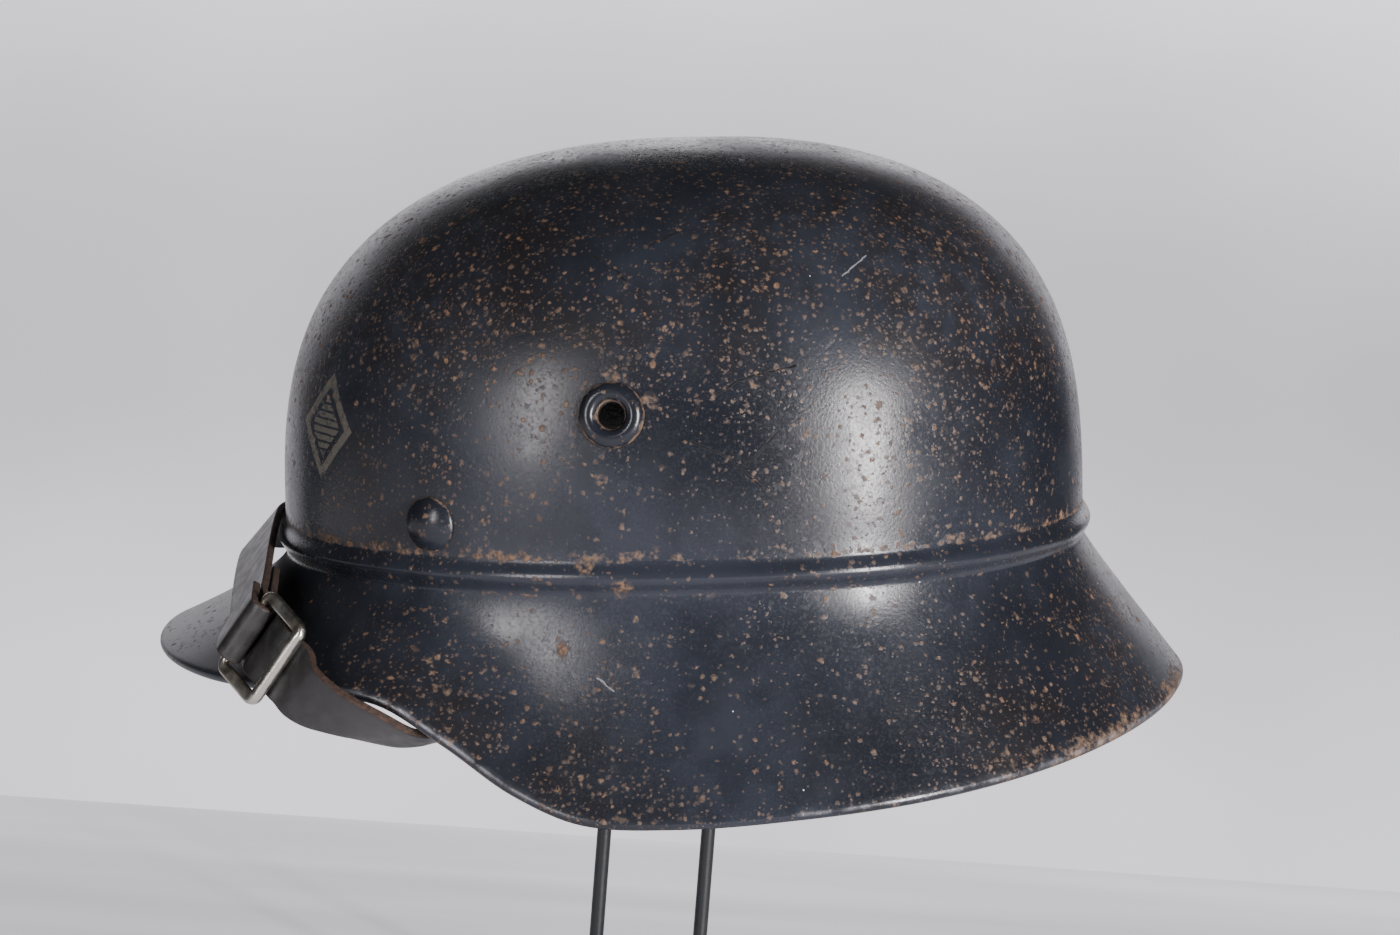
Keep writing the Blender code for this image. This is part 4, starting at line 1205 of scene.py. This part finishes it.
def make_camera():
    """The camera as it was fitted to the helmet's outline, with the helmet level."""
    elevation, roll = radians(CAMERA_ELEVATION), radians(CAMERA_ROLL)
    back = Vector((0, -cos(elevation), sin(elevation)))
    right = Vector((1, 0, 0))
    up = back.cross(right)
    right = right * cos(roll) + up * sin(roll)
    up = back.cross(right)
    x = (ORIGIN_PIXEL[0] - IMAGE_WIDTH / 2) / FOCAL_PIXELS * CAMERA_DISTANCE
    y = (IMAGE_HEIGHT / 2 - ORIGIN_PIXEL[1]) / FOCAL_PIXELS * CAMERA_DISTANCE
    matrix = Matrix((right, up, back)).transposed().to_4x4()
    matrix.translation = back * CAMERA_DISTANCE - right * x - up * y
    data = bpy.data.cameras.new("camera")
    data.lens = CAMERA_LENS
    data.sensor_width = 36
    camera = add_object("camera", data)
    camera.matrix_world = PLACEMENT @ matrix
    bpy.context.scene.camera = camera
    return camera


CAMERA = make_camera()


# Floor, backdrop and lights
def floor_point(x, y):
    """Where the floor shows at a pixel of the photo."""
    matrix = CAMERA.matrix_world
    right, up = (x - IMAGE_WIDTH / 2) / FOCAL_PIXELS, (IMAGE_HEIGHT / 2 - y) / FOCAL_PIXELS
    ray = matrix.to_3x3() @ Vector((right, up, -1))
    return matrix.translation - ray * (matrix.translation.z / ray.z)


# The floor ends behind the stand, and the backdrop hangs farther back, behind any camera there
FLOOR_EDGE_PIXELS = ((30, 797), (1370, 890))
FLOOR_HALF_WIDTH = 2.2
FLOOR_GLOW = 0.97
EDGE_BLEND = 0.12
EDGE_GLOW = 0.42
BACKDROP_SETBACK = 1.25
BACKDROP_LEFT = 1.45
BACKDROP_RIGHT = 1.10
BACKDROP_FOOT = -0.50
BACKDROP_TOP = 0.84
# Painted light on the backdrop: how much it glows, and how it brightens upwards, downwards and to the
# left
BACKDROP_GLOW = 0.94
DIM_LEVEL = 0.035
BRIGHT_ABOVE = 0.496
BRIGHT_BELOW = -0.279
BRIGHT_LEFT = -0.46
TOP_GLOW = 1.85
FOOT_GLOW = 0.90
LEFT_GLOW = 0.06
STREAK_SCALE = (0.8, 7.0, 1.0)
PAPER_DARK = (0.51, 0.497, 0.533)
PAPER_LIGHT = (0.60, 0.588, 0.626)


def stage_sheet(name, corners, glow):
    """A flat sheet of pale paper with faint streaks, which glows a little as its nodes say."""
    n = Nodes(f"{name}_paper")
    tone = n.range(n.noise(3.2, 2.0, where=n.vector("MULTIPLY", n.place, STREAK_SCALE)), 0.3, 0.7)
    colour = n.mix(tone, PAPER_DARK, PAPER_LIGHT)
    mesh = bpy.data.meshes.new(name)
    mesh.from_pydata([tuple(p) for p in corners], [], [(0, 1, 2, 3)])
    mesh.shade_smooth()
    mesh.materials.append(n.surface(colour, 0.9, specular=0.1, glow=glow(n)))
    add_object(name, mesh)


def floor_edge():
    """The middle of the floor's far edge, the way along it and the way behind it."""
    left, right = (floor_point(*pixel) for pixel in FLOOR_EDGE_PIXELS)
    along = (right - left).normalized()
    return (left + right) / 2, along, Vector((-along.y, along.x, 0))


def floor_glow(n):
    """A little brighter towards the far edge, so that it passes softly into the backdrop."""
    middle, _, behind = floor_edge()
    depth = n.vector("DOT_PRODUCT", n.place, tuple(behind))
    edge = middle.dot(behind)
    # Painted light: the floor glows, and more towards its far edge
    rise = n.times(n.range(depth, edge - EDGE_BLEND, edge), EDGE_GLOW)
    return n.plus(rise, FLOOR_GLOW)


def backdrop_glow(n):
    """Brighter towards the top, the foot and the left, as the photo shows it."""
    place = n.make("ShaderNodeSeparateXYZ")
    n.feed(place.inputs[0], n.place)
    # Painted light: the sheet glows brighter towards the top, the foot and the left, so darker at mid
    # height
    high = n.times(n.range(place.outputs[2], DIM_LEVEL, BRIGHT_ABOVE), TOP_GLOW)
    low = n.times(n.range(place.outputs[2], DIM_LEVEL, BRIGHT_BELOW), FOOT_GLOW)
    left = n.times(n.range(place.outputs[0], -BRIGHT_LEFT, BRIGHT_LEFT), LEFT_GLOW)
    return n.plus(n.plus(high, low), n.plus(left, BACKDROP_GLOW))


def make_stage():
    """A wide pale floor, and a pale sheet hung behind it."""
    middle, along, behind = floor_edge()
    wide, deep = along * FLOOR_HALF_WIDTH, behind * 2 * FLOOR_HALF_WIDTH
    floor = [middle - wide - deep, middle + wide - deep, middle + wide, middle - wide]
    stage_sheet("floor", floor, floor_glow)
    left, right = along * -BACKDROP_LEFT, along * BACKDROP_RIGHT
    foot = middle + behind * BACKDROP_SETBACK + Vector((0, 0, BACKDROP_FOOT))
    rise = Vector((0, 0, BACKDROP_TOP - BACKDROP_FOOT))
    backdrop = [foot + left, foot + right, foot + right + rise, foot + left + rise]
    stage_sheet("backdrop", backdrop, backdrop_glow)


# Each soft light: azimuth and elevation from the helmet, distance, width, height and power
SOFT_LIGHTS = {
    "soft_left": (-36, 12, 1.3, 0.20, 0.56, 7.4),
    "soft_right": (36, 8, 1.3, 0.065, 0.60, 34),
}
LIGHT_COLOUR = (1.0, 0.955, 0.965)
LIGHT_TARGET = Vector((0, 0, 0.17))
ROOM_COLOUR = (0.8, 0.82, 0.86, 1)
ROOM_STRENGTH = 0.065


def make_lights():
    for name, (azimuth, elevation, distance, width, height, power) in SOFT_LIGHTS.items():
        a, e = radians(azimuth), radians(elevation)
        away = Vector((sin(a) * cos(e), -cos(a) * cos(e), sin(e)))
        data = bpy.data.lights.new(name, "AREA")
        data.shape = "RECTANGLE"
        data.size, data.size_y = width, height
        data.energy = power
        data.color = LIGHT_COLOUR
        light = add_object(name, data)
        light.location = LIGHT_TARGET + away * distance
        light.rotation_mode = "QUATERNION"
        light.rotation_quaternion = (LIGHT_TARGET - light.location).to_track_quat("-Z", "Y")
    world = bpy.data.worlds.new("room")
    world.use_nodes = True
    world.node_tree.nodes["Background"].inputs[0].default_value = ROOM_COLOUR
    world.node_tree.nodes["Background"].inputs[1].default_value = ROOM_STRENGTH
    bpy.context.scene.world = world


make_stage()
make_lights()
